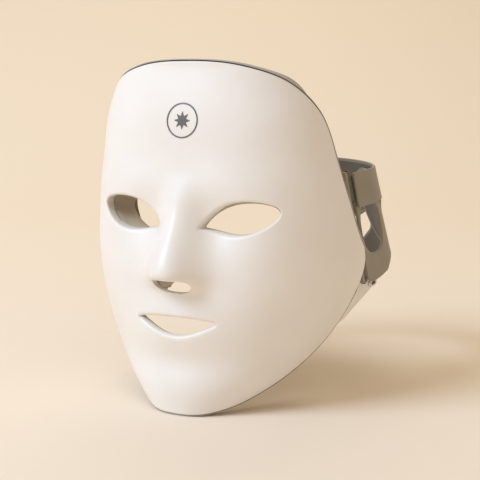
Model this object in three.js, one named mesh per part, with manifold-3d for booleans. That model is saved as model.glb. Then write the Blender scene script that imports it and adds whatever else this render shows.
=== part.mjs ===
// LED face mask: a two-skin shell with light boards between the skins, two side housings and a
// hinged silicone headband with ear openings. Millimetres, +Z up, the face towards -Y, the
// wearer's left towards +X. The origin is the middle of the underside of the whole box.
import * as THREE from "three";
import { mergeVertices } from "three/addons/utils/BufferGeometryUtils.js";
import Module from "manifold-3d";

const wasm = await Module();
wasm.setup();

// ---------------------------------------------------------------- driving dimensions
// Face form: at each height the plan is a superellipse arc with this half width, front and side line.
const STATIONS = [
  { z: 0, halfWidth: 44, front: -12, side: 82 },
  { z: 20, halfWidth: 64, front: -11, side: 81.5 },
  { z: 45, halfWidth: 79.5, front: -9.5, side: 83.5 },
  { z: 75, halfWidth: 90, front: -10, side: 84 },
  { z: 105, halfWidth: 94.5, front: -10, side: 83 },
  { z: 135, halfWidth: 93.5, front: -8.5, side: 80 },
  { z: 165, halfWidth: 89, front: -5, side: 73 },
  { z: 195, halfWidth: 81.5, front: -2, side: 61 },
  { z: 226, halfWidth: 66.5, front: 4.5, side: 49 },
];
const PLAN_POWER = 2.5; // superellipse exponent of the plan arcs
const WALL_PER_DEGREE = 1.3; // straight side wall behind the arc, mm for each degree past 90
// Rim of the mask, right half from the top centre to the chin: plan angle (degrees) and height.
const RIM = [
  [0, 229],
  [30, 225.5],
  [59, 215],
  [74.5, 196.5],
  [76.7, 165],
  [79.6, 143],
  [84.5, 120.5],
  [90.5, 103],
  [93.5, 91],
  [90.5, 77],
  [84, 56],
  [70, 31],
  [47, 8.5],
  [24, 1.5],
  [0, 0],
];
const HUB_Z = 95; // the shell grid fans out from this height on the centre line
// Grid lines of half the rim, counted in the steps of the table above, close together at the middle.
const HALF_LINES = [
  0, 0.25, 0.55, 0.9, 1.3, 1.7, 2.2, 2.8, 3.5, 4.2, 5, 5.8, 6.6, 7.4, 8.2, 9, 9.8, 10.5, 11.1,
  11.6, 12.1, 12.6, 13, 13.4, 13.7,
];
const AROUND = 2 * HALF_LINES.length;
const WALL_BAND = 0.955; // inside this part of the radius the rear shell steps away from the front
const RINGS = [0, 0.06, 0.12, 0.18, 0.26, 0.36, 0.48, 0.62, 0.76, 0.88, WALL_BAND];
const FAN_POWER = 1.25; // keeps the grid even in width near the centre line
const LIP = 1.011; // the rear shell's lip stands out past the rim of the front shell
const LIP_START = 1.0035; // inner edge of that lip
const LIP_FRONT = 0.5; // depth of the lip's front edge
// Cut into the rear shell's lip for the hinge anchors: x, level (see HINGE) and height, low and high.
const ANCHOR_NOTCHES = [
  [82, 92, 54.4, 64, 130.6, 157.4],
  [84.2, 92, 55.6, 64, 85, 92.5],
];

// Depths below the outer surface.
const SKIN = 2; // front shell thickness
const GASKET = [2.4, 3];
const GASKET_RIM = 1.002; // how far out the gasket reaches, in parts of the rim radius
const REAR = { wall: 3.4, front: 6.2, back: 8.2 };
const BOARD = [3.3, 4.3];
// Eye cups: opening against the eye hole (shift and scale), and its plane y = back + slope * |x|.
const CUP = { shift: [-7.25, -3.4], scale: [0.91, 0.95], back: 5.2, slope: 0.43, wall: 1.6 };
const WALL = { thickness: 1.3, eye: 7, mouth: 5.6 }; // walls turned in around the holes, and their depth
const REAR_NOSE = 0.55; // the inner skin follows the nose at just over half its height

const CLEAR = 0.3; // gap between touching pieces
const EYE = { inner: [14.4, 122.7], outer: [64.4, 134.5], upper: 12.1, lower: 9.9 };
const MOUTH = { halfWidth: 28.8, z: 62.4, upper: 2.8, lower: 9.5 };
const NOSTRIL = { halfWidth: 13.5, top: 91.5, middle: 87.5, bottom: 81 };
const EMBLEM = { z: 191.5, radius: 11.3, line: 0.9 };

// Headband: hinge line (leaning back as it goes down), plan straight then a half circle.
const HINGE = { x: 87.5, y: 62, z: 156 };
const LEAN = 0.5; // mm back for each mm down
const LEAN_FADE = 0.28; // how much of the lean is gone at the back of the head
const FLARE = 0.07; // behind the ear the band widens by this much for each mm down
const FLARE_Z = 140; // height at which the band has its plain radius
const BEND_Y = 94.5; // where the half circle starts, at the hinge's reference height
const INNER_BAND = [88, 90];
const OUTER_BAND = [90.4, 92.4];
const KNUCKLE = 2.6;
const PIN = 1;
const PIN_HOLE = 1.3;
const TOP_STRAP = [131, 156]; // lowest and highest point of the upper strap
const EAR = { front: 69, back: 111, bottom: 94.5, top: 133 };

const COLOURS = {
  white: [0xf6f3ee, 0.5],
  grey: [0x9a948c, 0.6],
  inner: [0xb9ab99, 0.55],
  silicone: [0x8f826e, 0.6],
  board: [0x2f5d43, 0.6],
  lens: [0xd8d2c8, 0.15],
  metal: [0xb9bbbd, 0.3],
  ink: [0x5d5d60, 0.5],
  battery: [0x6f7f94, 0.5],
  black: [0x2a2a2c, 0.5],
};

// ---------------------------------------------------------------- small tools
const group = new THREE.Group();
const radians = THREE.MathUtils.degToRad;

function smoothStep(from, to, value) {
  const t = THREE.MathUtils.clamp((value - from) / (to - from), 0, 1);
  return t * t * (3 - 2 * t);
}

// A table read with a smooth curve through its points (cubic Hermite, central slopes).
function smoothTable(points, value) {
  const last = points.length - 1;
  const v = THREE.MathUtils.clamp(value, points[0][0], points[last][0]);
  let i = 0;
  while (i < last - 1 && v > points[i + 1][0]) i += 1;
  const slope = (k) => {
    const a = points[Math.max(k - 1, 0)];
    const b = points[Math.min(k + 1, last)];
    return (b[1] - a[1]) / (b[0] - a[0]);
  };
  const [x0, y0] = points[i];
  const [x1, y1] = points[i + 1];
  const w = x1 - x0;
  const t = (v - x0) / w;
  const t2 = t * t;
  const t3 = t2 * t;
  return (
    (2 * t3 - 3 * t2 + 1) * y0 +
    (t3 - 2 * t2 + t) * w * slope(i) +
    (3 * t2 - 2 * t3) * y1 +
    (t3 - t2) * w * slope(i + 1)
  );
}

// A table read with straight lines.
function lineTable(points, value) {
  const last = points.length - 1;
  if (value <= points[0][0]) return points[0][1];
  if (value >= points[last][0]) return points[last][1];
  let i = 0;
  while (value > points[i + 1][0]) i += 1;
  const t = (value - points[i][0]) / (points[i + 1][0] - points[i][0]);
  return points[i][1] + t * (points[i + 1][1] - points[i][1]);
}

function solid(geometry) {
  const bare = geometry.clone();
  bare.deleteAttribute("normal");
  bare.deleteAttribute("uv");
  const merged = mergeVertices(bare, 1e-4);
  const made = new wasm.Manifold(
    new wasm.Mesh({
      numProp: 3,
      vertProperties: new Float32Array(merged.attributes.position.array),
      triVerts: new Uint32Array(merged.index.array),
    }),
  );
  return made;
}

function geometryOf(made) {
  const mesh = made.getMesh();
  const geometry = new THREE.BufferGeometry();
  const positions = new THREE.BufferAttribute(new Float32Array(mesh.vertProperties), 3);
  geometry.setAttribute("position", positions);
  geometry.setIndex(new THREE.BufferAttribute(new Uint32Array(mesh.triVerts), 1));
  const flat = geometry.toNonIndexed();
  flat.computeVertexNormals();
  return flat;
}

const union = (...parts) => parts.reduce((a, b) => a.add(b));
const cut = (body, ...tools) => tools.reduce((a, b) => a.subtract(b), body);

function place(name, made, colour) {
  const [hex, roughness] = COLOURS[colour];
  const metalness = colour === "metal" ? 1 : 0;
  const material = new THREE.MeshStandardMaterial({ color: hex, roughness, metalness });
  const mesh = new THREE.Mesh(geometryOf(made), material);
  mesh.name = name;
  group.add(mesh);
}

// A closed skin over rings of points, each ring a closed loop; the ends are fans.
function loft(rings) {
  const count = rings[0].length;
  const positions = rings.flat().flat();
  const index = [];
  const at = (ring, k) => ring * count + (k % count);
  for (let i = 0; i + 1 < rings.length; i += 1) {
    for (let k = 0; k < count; k += 1) {
      index.push(at(i, k), at(i, k + 1), at(i + 1, k + 1));
      index.push(at(i, k), at(i + 1, k + 1), at(i + 1, k));
    }
  }
  const end = rings.length - 1;
  for (let k = 1; k + 1 < count; k += 1) {
    index.push(at(0, 0), at(0, k + 1), at(0, k));
    index.push(at(end, 0), at(end, k), at(end, k + 1));
  }
  return closedSolid(positions, index);
}

// A solid from points and faces, turned outwards if its faces look in.
function closedSolid(positions, index) {
  const geometry = new THREE.BufferGeometry();
  geometry.setAttribute("position", new THREE.Float32BufferAttribute(positions, 3));
  geometry.setIndex(index);
  if (signedVolume(positions, index) < 0) {
    for (let i = 0; i < index.length; i += 3) {
      [index[i + 1], index[i + 2]] = [index[i + 2], index[i + 1]];
    }
    geometry.setIndex(index);
  }
  return solid(geometry);
}

function signedVolume(positions, index) {
  const point = (i) => new THREE.Vector3().fromArray(positions, 3 * i);
  let sum = 0;
  for (let i = 0; i < index.length; i += 3) {
    const [a, b, c] = [point(index[i]), point(index[i + 1]), point(index[i + 2])];
    sum += a.dot(b.cross(c));
  }
  return sum;
}

// ---------------------------------------------------------------- face surface
const stationTable = (key) => STATIONS.map((s) => [s.z, s[key]]);
const HALF_WIDTHS = stationTable("halfWidth");
const FRONTS = stationTable("front");
const SIDES = stationTable("side");

function bump(x, z, centreX, centreZ, spreadX, spreadZ) {
  const u = (x - centreX) / spreadX;
  const v = (z - centreZ) / spreadZ;
  return Math.exp(-0.5 * (u * u + v * v));
}

// How far the face stands forward of the plain superellipse form.
function relief(x, z, noseScale) {
  const ax = Math.abs(x);
  const grown = smoothStep(150, 90, z);
  const ridge = Math.exp(-0.5 * (ax / (9 + 5 * grown)) ** 2.4);
  const nose = (3 + 20 * grown) * ridge * smoothStep(79, 96, z) * smoothStep(160, 140, z);
  return (
    noseScale * nose -
    6 * bump(ax, z, 22, 126, 15, 13) + // eye sockets
    2 * bump(ax, z, 38, 150, 26, 9) + // brows
    3 * bump(ax, z, 44, 92, 22, 22) + // cheeks
    7 * bump(x, z, 0, 58, 26, 16) - // mouth
    3.5 * bump(x, z, 0, 33, 22, 8) + // hollow under the lips
    4 * bump(x, z, 0, 16, 22, 14) // chin
  );
}

// The point at a plan angle and height, a given depth below the outer surface.
function facePoint(angle, z, depth, noseScale) {
  const halfWidth = smoothTable(HALF_WIDTHS, z) - depth;
  const front = smoothTable(FRONTS, z) + depth;
  const side = smoothTable(SIDES, z);
  const turn = Math.min(Math.abs(angle), 90);
  const past = Math.max(Math.abs(angle) - 90, 0);
  const power = 2 / PLAN_POWER;
  const x = Math.sign(angle) * halfWidth * Math.sin(radians(turn)) ** power;
  const cosine = Math.max(Math.cos(radians(turn)), 0) ** power;
  const y = side - (side - front) * cosine + past * WALL_PER_DEGREE;
  return [x, y - relief(x, z, noseScale), z];
}

// The y of the layer at a depth, over a point of the front view.
function layerY(x, z, depth, noseScale) {
  const halfWidth = smoothTable(HALF_WIDTHS, z) - depth;
  const front = smoothTable(FRONTS, z) + depth;
  const side = smoothTable(SIDES, z);
  const across = Math.min(Math.abs(x) / halfWidth, 0.999) ** PLAN_POWER;
  return side - (side - front) * (1 - across) ** (1 / PLAN_POWER) - relief(x, z, noseScale);
}

const mirrored = RIM.slice(1, -1).reverse().map(([angle, z]) => [-angle, z]);
const rimCurve = new THREE.CatmullRomCurve3(
  [...RIM, ...mirrored].map(([angle, z]) => new THREE.Vector3(angle, z, 0)),
  true,
  "catmullrom",
  0.5,
);

const RIM_STEPS = 2 * (RIM.length - 1);
const HALF_RIM = [...HALF_LINES, RIM.length - 1].map((line) => rimCurve.getPoint(line / RIM_STEPS));
const RIM_POINTS = [
  ...HALF_RIM,
  ...HALF_RIM.slice(1, -1).reverse().map((p) => new THREE.Vector3(-p.x, p.y, 0)),
];

// The grid point at a fraction of the way from the hub to the rim.
function gridPoint(step, fraction, depth, noseScale) {
  const rim = RIM_POINTS[step % AROUND];
  const angle = rim.x * fraction ** FAN_POWER;
  const z = HUB_Z + (rim.y - HUB_Z) * fraction;
  return facePoint(angle, z, depth, noseScale);
}

// The back edge of the rear shell's lip at a height between the cheek and the temple.
const LIP_LINE = HALF_RIM.map((_, k) => gridPoint(k, LIP, REAR.back, 0))
  .filter((p) => p[0] > 60 && p[2] > 20)
  .map((p) => [p[2], p[1]])
  .sort((a, b) => a[0] - b[0]);
const rimY = (z) => lineTable(LIP_LINE, z);

// A skin between two profiles, each a list of [fraction, depth] from the hub to the rim.
function shell(frontProfile, backProfile, frontNose, backNose) {
  const positions = [];
  const index = [];
  const rows = [...frontProfile.map((p) => [...p, frontNose]), ...backProfile.map((p) => [...p, backNose])];
  const starts = [];
  for (const [fraction, depth, nose] of rows) {
    starts.push(positions.length / 3);
    const steps = fraction === 0 ? 1 : AROUND;
    for (let k = 0; k < steps; k += 1) positions.push(...gridPoint(k, fraction, depth, nose));
  }
  for (let r = 0; r + 1 < rows.length; r += 1) {
    for (let k = 0; k < AROUND; k += 1) {
      const next = (k + 1) % AROUND;
      const [a, b] = [starts[r], starts[r + 1]];
      if (rows[r][0] === 0) {
        index.push(a, b + k, b + next);
      } else if (rows[r + 1][0] === 0) {
        index.push(a + k, b, a + next);
      } else if (k < AROUND / 2) {
        index.push(a + k, b + k, b + next);
        index.push(a + k, b + next, a + next);
      } else {
        index.push(a + k, b + k, a + next);
        index.push(b + k, b + next, a + next);
      }
    }
  }
  return closedSolid(positions, index);
}

const profile = (depth, ...tail) => [...RINGS.map((f) => [f, depth]), ...tail];
const backwards = (list) => [...list].reverse();

// A slab between two depths, closed at the rim.
function slab(front, back, frontNose, backNose) {
  const outer = profile(front, [1, front]);
  const inner = profile(back, [1, back]);
  return shell(outer, backwards(inner), frontNose, backNose);
}

// ---------------------------------------------------------------- outlines in the front view
// An almond between two corners, fuller above near the nose and below near the temple.
function eyeOutline(grow, side) {
  const points = [];
  const steps = 12;
  const [x0, z0] = EYE.inner;
  const [x1, z1] = EYE.outer;
  const edge = (s, up) => {
    const height = up
      ? EYE.upper * Math.max(Math.sin(Math.PI * s ** 0.85), 0) ** (0.8 - 0.25 * s)
      : -EYE.lower * Math.max(Math.sin(Math.PI * s ** 1.45), 0) ** (0.75 - 0.25 * s);
    return new THREE.Vector2(x0 + s * (x1 - x0), z0 + s * (z1 - z0) + height);
  };
  const share = (i) => (1 - Math.cos((Math.PI * i) / steps)) / 2;
  for (let i = 0; i < steps; i += 1) points.push(edge(share(i), true));
  for (let i = steps; i > 0; i -= 1) points.push(edge(share(i), false));
  return grown(points, grow).map((p) => new THREE.Vector2(side * p.x, p.y));
}

// The funnel of an eye cup, from a depth under the eye hole to its back plane, and past both ends.
function cupFunnel(depth, grow, backGrow, [before, past], side) {
  const middle = [(EYE.inner[0] + EYE.outer[0]) / 2, (EYE.inner[1] + EYE.outer[1]) / 2];
  const front = eyeOutline(grow, side).map((p) => [p.x, layerY(p.x, p.y, depth, REAR_NOSE), p.y]);
  const back = eyeOutline(backGrow, 1).map((p) => {
    const x = middle[0] + CUP.shift[0] + CUP.scale[0] * (p.x - middle[0]);
    const z = middle[1] + CUP.shift[1] + CUP.scale[1] * (p.y - middle[1]);
    return [side * x, CUP.back + CUP.slope * x, z];
  });
  const moved = (ring, by) => ring.map(([x, y, z]) => [x, y + by, z]);
  return loft([moved(front, -before), front, back, moved(back, past)]);
}

// An outline moved outwards along its normals.
function grown(points, distance) {
  const turned = THREE.ShapeUtils.isClockWise(points) ? -1 : 1;
  return points.map((p, i) => {
    const before = points[(i + points.length - 1) % points.length];
    const after = points[(i + 1) % points.length];
    const along = after.clone().sub(before).normalize();
    return new THREE.Vector2(p.x + turned * along.y * distance, p.y - turned * along.x * distance);
  });
}

function mouthOutline(grow) {
  const points = [];
  const steps = 10;
  const { halfWidth, z, upper, lower } = MOUTH;
  for (let i = -steps; i < steps; i += 1) {
    const u = i / steps;
    points.push(new THREE.Vector2(u * halfWidth, z + upper * (1 - Math.abs(u) ** 3)));
  }
  for (let i = steps; i > -steps; i -= 1) {
    const u = i / steps;
    const drop = Math.max(Math.cos((Math.PI / 2) * u), 0) ** 1.1;
    points.push(new THREE.Vector2(u * halfWidth, z - lower * drop));
  }
  return grown(points, grow);
}

function noseOutline(grow) {
  const { halfWidth, top, middle, bottom } = NOSTRIL;
  const points = [];
  const steps = 20;
  for (let i = 0; i < steps; i += 1) {
    const a = (i / steps) * 2 * Math.PI;
    const up = Math.sin(a) > 0;
    const x = halfWidth * Math.sign(Math.cos(a)) * Math.abs(Math.cos(a)) ** 0.8;
    const z = up ? middle + (top - middle) * Math.sin(a) ** 0.6 : middle + (middle - bottom) * Math.sin(a);
    points.push(new THREE.Vector2(x, z));
  }
  return grown(points, grow);
}

function roundedBox(x0, z0, x1, z1, radius) {
  const points = [];
  const corners = [
    [x1 - radius, z0 + radius, -90],
    [x1 - radius, z1 - radius, 0],
    [x0 + radius, z1 - radius, 90],
    [x0 + radius, z0 + radius, 180],
  ];
  for (const [x, z, start] of corners) {
    for (const turn of [0, 30, 60, 90]) {
      const a = radians(start + turn);
      points.push(new THREE.Vector2(x + radius * Math.cos(a), z + radius * Math.sin(a)));
    }
  }
  return points;
}

// A prism through the mask along Y over an outline of the front view.
function through(points, front = -60, back = 90) {
  const geometry = new THREE.ExtrudeGeometry(new THREE.Shape(points), {
    depth: back - front,
    bevelEnabled: false,
  });
  geometry.rotateX(Math.PI / 2);
  geometry.translate(0, back, 0);
  return solid(geometry);
}

// A frame standing on a layer: its Z is the way into the mask, towards the wearer.
function layerFrame(x, z, depth, noseScale) {
  const e = 0.5;
  const dx = (layerY(x + e, z, depth, noseScale) - layerY(x - e, z, depth, noseScale)) / (2 * e);
  const dz = (layerY(x, z + e, depth, noseScale) - layerY(x, z - e, depth, noseScale)) / (2 * e);
  const inward = new THREE.Vector3(-dx, 1, -dz).normalize();
  const turn = new THREE.Quaternion().setFromUnitVectors(new THREE.Vector3(0, 0, 1), inward);
  const at = new THREE.Vector3(x, layerY(x, z, depth, noseScale), z);
  return new THREE.Matrix4().compose(at, turn, new THREE.Vector3(1, 1, 1));
}

function cylinder(radius, from, to, segments = 14) {
  const geometry = new THREE.CylinderGeometry(radius, radius, to - from, segments);
  geometry.rotateX(Math.PI / 2);
  geometry.translate(0, 0, (from + to) / 2);
  return geometry;
}

function box(x0, x1, y0, y1, z0, z1) {
  const geometry = new THREE.BoxGeometry(x1 - x0, y1 - y0, z1 - z0);
  geometry.translate((x0 + x1) / 2, (y0 + y1) / 2, (z0 + z1) / 2);
  return geometry;
}

const moved = (geometry, matrix) => solid(geometry.applyMatrix4(matrix));

// ---------------------------------------------------------------- the two skins
const SCREWS = [
  [58, 154],
  [-58, 154],
  [50, 54],
  [-50, 54],
];
const SCREW = { shank: 1, hole: 1.3, boss: 2.8, head: 2.3 };

function faceHoles(grow) {
  return [
    through(eyeOutline(grow, 1)),
    through(eyeOutline(grow, -1)),
    through(mouthOutline(grow)),
    through(noseOutline(grow)),
  ];
}

function buildFrontShell() {
  let body = shell(
    profile(0, [1, 0]),
    backwards(profile(SKIN, [1, SKIN])),
    1,
    1,
  );
  for (const side of [1, -1]) {
    body = body.add(slab(1, WALL.eye, 1, 1).intersect(through(eyeOutline(WALL.thickness, side))));
  }
  body = body.add(slab(1, WALL.mouth, 1, 0.6).intersect(through(mouthOutline(WALL.thickness))));
  body = cut(body, ...faceHoles(0));
  for (const [x, z] of SCREWS) {
    const frame = layerFrame(x, z, SKIN, 1);
    body = body.add(moved(cylinder(SCREW.boss, -0.6, 3.6), frame));
    body = body.subtract(moved(cylinder(SCREW.hole, 0.2, 5), frame));
  }
  place("front_shell", body, "white");
}

function buildGasket() {
  const [front, back] = GASKET;
  const rings = [];
  for (let k = 0; k < AROUND; k += 1) {
    rings.push([
      gridPoint(k, WALL_BAND, front, 1),
      gridPoint(k, GASKET_RIM, front, 1),
      gridPoint(k, GASKET_RIM, back, 1),
      gridPoint(k, WALL_BAND, back, 1),
    ]);
  }
  place("seam_gasket", closedLoop(rings), "grey");
}

// A loft whose last ring joins its first.
function closedLoop(rings) {
  const count = rings[0].length;
  const index = [];
  const at = (ring, k) => (ring % rings.length) * count + (k % count);
  for (let i = 0; i < rings.length; i += 1) {
    for (let k = 0; k < count; k += 1) {
      index.push(at(i, k), at(i, k + 1), at(i + 1, k + 1));
      index.push(at(i, k), at(i + 1, k + 1), at(i + 1, k));
    }
  }
  return closedSolid(rings.flat().flat(), index);
}

// Light windows in the inner skin, with the board behind each.
const WINDOWS = {
  forehead: { box: [-46, 160, 46, 204], radius: 9, columns: 5, rows: 2 },
  left_cheek: { box: [27, 71, 61, 107], radius: 8, columns: 2, rows: 2 },
  right_cheek: { box: [-61, 71, -27, 107], radius: 8, columns: 2, rows: 2 },
  chin: { box: [-27, 17, 27, 41], radius: 8, columns: 3, rows: 1 },
};

function windowOutline({ box: [x0, z0, x1, z1], radius }, grow) {
  return roundedBox(x0 - grow, z0 - grow, x1 + grow, z1 + grow, radius + grow);
}

function buildRearShell() {
  const outer = profile(
    REAR.front,
    [WALL_BAND + 0.006, REAR.wall],
    [LIP_START, REAR.wall],
    [LIP_START, LIP_FRONT],
    [LIP, LIP_FRONT],
  );
  const inner = profile(REAR.back, [LIP, REAR.back]);
  let body = shell(outer, backwards(inner), REAR_NOSE, REAR_NOSE);
  body = cut(
    body,
    through(eyeOutline(3.4, 1)),
    through(eyeOutline(3.4, -1)),
    through(mouthOutline(0.8)),
    through(noseOutline(3)),
  );
  for (const opening of Object.values(WINDOWS)) {
    body = body.subtract(through(windowOutline(opening, 0)));
  }
  for (const [x, z] of SCREWS) {
    const frame = layerFrame(x, z, SKIN, 1);
    body = body.subtract(moved(cylinder(SCREW.hole, 2, 12), frame));
  }
  for (const side of [1, -1]) {
    body = body.subtract(anchorScrewTool(side, SCREW.hole));
    body = body.subtract(housingScrewTool(side, SCREW.hole));
    for (const [x0, x1, y0, y1, low, high] of ANCHOR_NOTCHES) {
      body = body.subtract(leanPrism(side, rectangle(x0, x1, y0, y1), low, high));
    }
  }
  place("rear_shell", body, "inner");
}

function buildWindows() {
  for (const [name, opening] of Object.entries(WINDOWS)) {
    const pane = slab(REAR.front + 0.3, REAR.back + 0.2, REAR_NOSE, REAR_NOSE);
    place(name + "_lens", pane.intersect(through(windowOutline(opening, -CLEAR))), "lens");
    let board = slab(BOARD[0], BOARD[1], 1, 1).intersect(through(windowOutline(opening, -1.2)));
    const [x0, z0, x1, z1] = opening.box;
    for (let row = 0; row < opening.rows; row += 1) {
      for (let column = 0; column < opening.columns; column += 1) {
        const x = x0 + ((column + 0.5) / opening.columns) * (x1 - x0);
        const z = z0 + ((row + 0.5) / opening.rows) * (z1 - z0);
        const frame = layerFrame(x, z, BOARD[1], 1);
        board = board.add(moved(box(-1.8, 1.8, -1.8, 1.8, -0.8, 0.8), frame));
      }
    }
    place(name + "_led_board", board, "board");
  }
}

function buildFlexCables() {
  const outline = [
    [47, 172],
    [69, 172],
    [69, 91],
    [62, 91],
    [62, 85],
    [74, 85],
    [74, 178],
    [47, 178],
  ];
  for (const side of [1, -1]) {
    const points = outline.map(([x, z]) => new THREE.Vector2(side * x, z));
    const strip = slab(BOARD[0], BOARD[0] + 0.5, 1, 1).intersect(through(points));
    place(sideName(side) + "_flex_cable", strip, "board");
  }
}

const sideName = (side) => (side > 0 ? "left" : "right");

function buildSoftPieces() {
  for (const side of [1, -1]) {
    const sleeve = slab(SKIN + 1, REAR.back + 1.8, 1, REAR_NOSE).intersect(through(eyeOutline(2.9, side)));
    const flange = slab(REAR.back + 0.75, REAR.back + 2.3, REAR_NOSE, REAR_NOSE).intersect(
      through(eyeOutline(6.5, side)),
    );
    const seat = slab(SKIN, WALL.eye + 0.6, 1, 1).intersect(through(eyeOutline(WALL.thickness + 0.6, side)));
    const funnel = cupFunnel(REAR.back + 1.2, 2.9, CUP.wall, [0.1, 0.1], side);
    const cavity = cupFunnel(REAR.back + 0.4, 0, 0, [20, 3], side);
    const guard = cut(union(sleeve, flange, funnel), seat, cavity);
    place(sideName(side) + "_eye_guard", guard, "silicone");
  }
  const pad = slab(REAR.back + 1, 12.4, REAR_NOSE, REAR_NOSE);
  place("forehead_bumper", pad.intersect(through(roundedBox(-30, 210, 30, 220, 4.5))), "silicone");
  place("nose_bridge_bumper", pad.intersect(through(roundedBox(-8, 137, 8, 155, 5))), "silicone");
}

function buildRearScrews() {
  SCREWS.forEach(([x, z], i) => {
    const frame = layerFrame(x, z, SKIN, 1);
    const shank = moved(cylinder(SCREW.shank, 0.6, 8.2, 10), frame);
    const head = moved(cylinder(SCREW.head, 8, 9.3, 12), frame);
    place("rear_screw_" + (i + 1), shank.add(head), "metal");
  });
}

// A generic sun sign: a thin ring round a disc with rays, printed on the forehead.
function buildEmblem() {
  const ink = slab(-0.35, -0.05, 1, 1);
  const { z, radius, line } = EMBLEM;
  const circle = (r, steps) => {
    const points = [];
    for (let i = 0; i < steps; i += 1) {
      const a = (i / steps) * 2 * Math.PI;
      points.push(new THREE.Vector2(r * Math.cos(a), z + r * Math.sin(a)));
    }
    return through(points, -60, 40);
  };
  const ring = circle(radius, 32).subtract(circle(radius - line, 32));
  place("emblem_ring", ink.intersect(ring), "ink");
  const star = [];
  const rays = 8;
  for (let i = 0; i < 2 * rays; i += 1) {
    const r = i % 2 === 0 ? 6 : 2.9;
    const a = (i / (2 * rays)) * 2 * Math.PI;
    star.push(new THREE.Vector2(r * Math.cos(a), z + r * Math.sin(a)));
  }
  place("emblem_sun", ink.intersect(through(star, -60, 40)), "ink");
}

// ---------------------------------------------------------------- side housings
const HOUSING_DEPTH = 8.4;
const HOUSING_WALL = 1.4;
const HOUSING_FACE = 84.2;
const HOUSING_BACK = [
  [49, 88],
  [52, 95],
  [57, 106],
  [64, 126],
  [70, 142],
  [76, 144],
  [84, 141],
  [88, 134],
];
const HOUSING_LEVELS = HOUSING_BACK.map(([z]) => z);
const PORT = { y: 129, z: 70 };
const BUTTON = { y: 112, z: 75.5, radius: 3.8 };
const LIGHT = { y: 98, z: 67.5, radius: 1 };
const LUG = { y: -7, low: 70, high: 87 };

const housingFace = (z) => Math.min(HOUSING_FACE, smoothTable(HALF_WIDTHS, z) - 4);
const housingFront = (z) => rimY(z) + 0.5;

// A box-shaped loft up the housing, each side moved in by a distance.
function housingLoft(side, levels, { out, inside, front, back }) {
  return loft(
    levels.map((z) => {
      const x1 = side * (housingFace(z) - out);
      const x0 = side * (housingFace(z) - HOUSING_DEPTH + inside);
      const y0 = housingFront(z) + front;
      const y1 = smoothTable(HOUSING_BACK, z) - back;
      return [
        [x0, y0, z],
        [x1, y0, z],
        [x1, y1, z],
        [x0, y1, z],
      ];
    }),
  );
}

function housingScrewTool(side, radius) {
  const geometry = cylinder(radius, 70, 87, 10);
  geometry.rotateY(side * Math.PI * 0.5);
  geometry.translate(0, rimY(80) - 2.6, 80);
  return solid(geometry);
}

function sideways(geometry, side, y, z) {
  geometry.rotateY(side * Math.PI * 0.5);
  geometry.translate(0, y, z);
  return solid(geometry);
}

function buildHousing(side) {
  const name = sideName(side);
  let body = housingLoft(side, HOUSING_LEVELS, { out: 0, inside: 0, front: 0, back: 0 });
  const cavityLevels = [58, 64, 70, 76, 84, 86.4];
  const inset = { out: HOUSING_WALL, inside: -1, front: HOUSING_WALL, back: 2 };
  body = body.subtract(housingLoft(side, cavityLevels, inset));
  const lug = loft(
    [LUG.low, 78, LUG.high].map((z) => {
      const x0 = side * (housingFace(z) - HOUSING_DEPTH);
      const x1 = side * (smoothTable(HALF_WIDTHS, z) - REAR.back - 0.8);
      const y0 = rimY(z) + LUG.y;
      const y1 = housingFront(z) + 1;
      return [
        [x0, y0, z],
        [x1, y0, z],
        [x1, y1, z],
        [x0, y1, z],
      ];
    }),
  );
  const lugClipped = lug.subtract(solid(box(-100, 100, 0, 200, LUG.high - 0.5, 200)));
  body = body.add(lugClipped).subtract(housingScrewTool(side, SCREW.hole));
  const peg = sideways(cylinder(1.8, 80, 90, 12), side, PEG.y, PEG.z);
  body = body.subtract(peg);
  if (side > 0) {
    body = body.subtract(portSlot(9.6, 3.8, 80, 90));
  } else {
    body = body.subtract(sideways(cylinder(BUTTON.radius + CLEAR, 80, 90, 24), side, BUTTON.y, BUTTON.z));
    body = body.subtract(sideways(cylinder(LIGHT.radius + CLEAR, 80, 90, 10), side, LIGHT.y, LIGHT.z));
  }
  place(name + "_side_housing", body, "white");

  const cover = housingLoft(side, [57, 64, 70, 76, 84, 87.2], {
    out: HOUSING_DEPTH + CLEAR,
    inside: -1.6,
    front: 0.4,
    back: 0.8,
  });
  place(name + "_housing_cover", cover, "inner");

  const screw = sideways(cylinder(SCREW.shank, 75, 86, 10), side, rimY(80) - 2.6, 80);
  const head = sideways(cylinder(SCREW.head, 73.9, 75.4, 12), side, rimY(80) - 2.6, 80);
  place(name + "_housing_screw", screw.add(head), "metal");
}

// A rounded slot of the charging port, along X.
function portSlot(width, height, from, to) {
  const half = (width - height) / 2;
  const shape = new THREE.Shape();
  shape.absarc(half, 0, height / 2, -Math.PI / 2, Math.PI / 2);
  shape.absarc(-half, 0, height / 2, Math.PI / 2, 1.5 * Math.PI);
  const geometry = new THREE.ExtrudeGeometry(shape, {
    depth: to - from,
    bevelEnabled: false,
    curveSegments: 8,
  });
  geometry.rotateX(Math.PI / 2);
  geometry.rotateZ(Math.PI / 2);
  geometry.translate(from, PORT.y, PORT.z);
  return solid(geometry);
}

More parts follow.
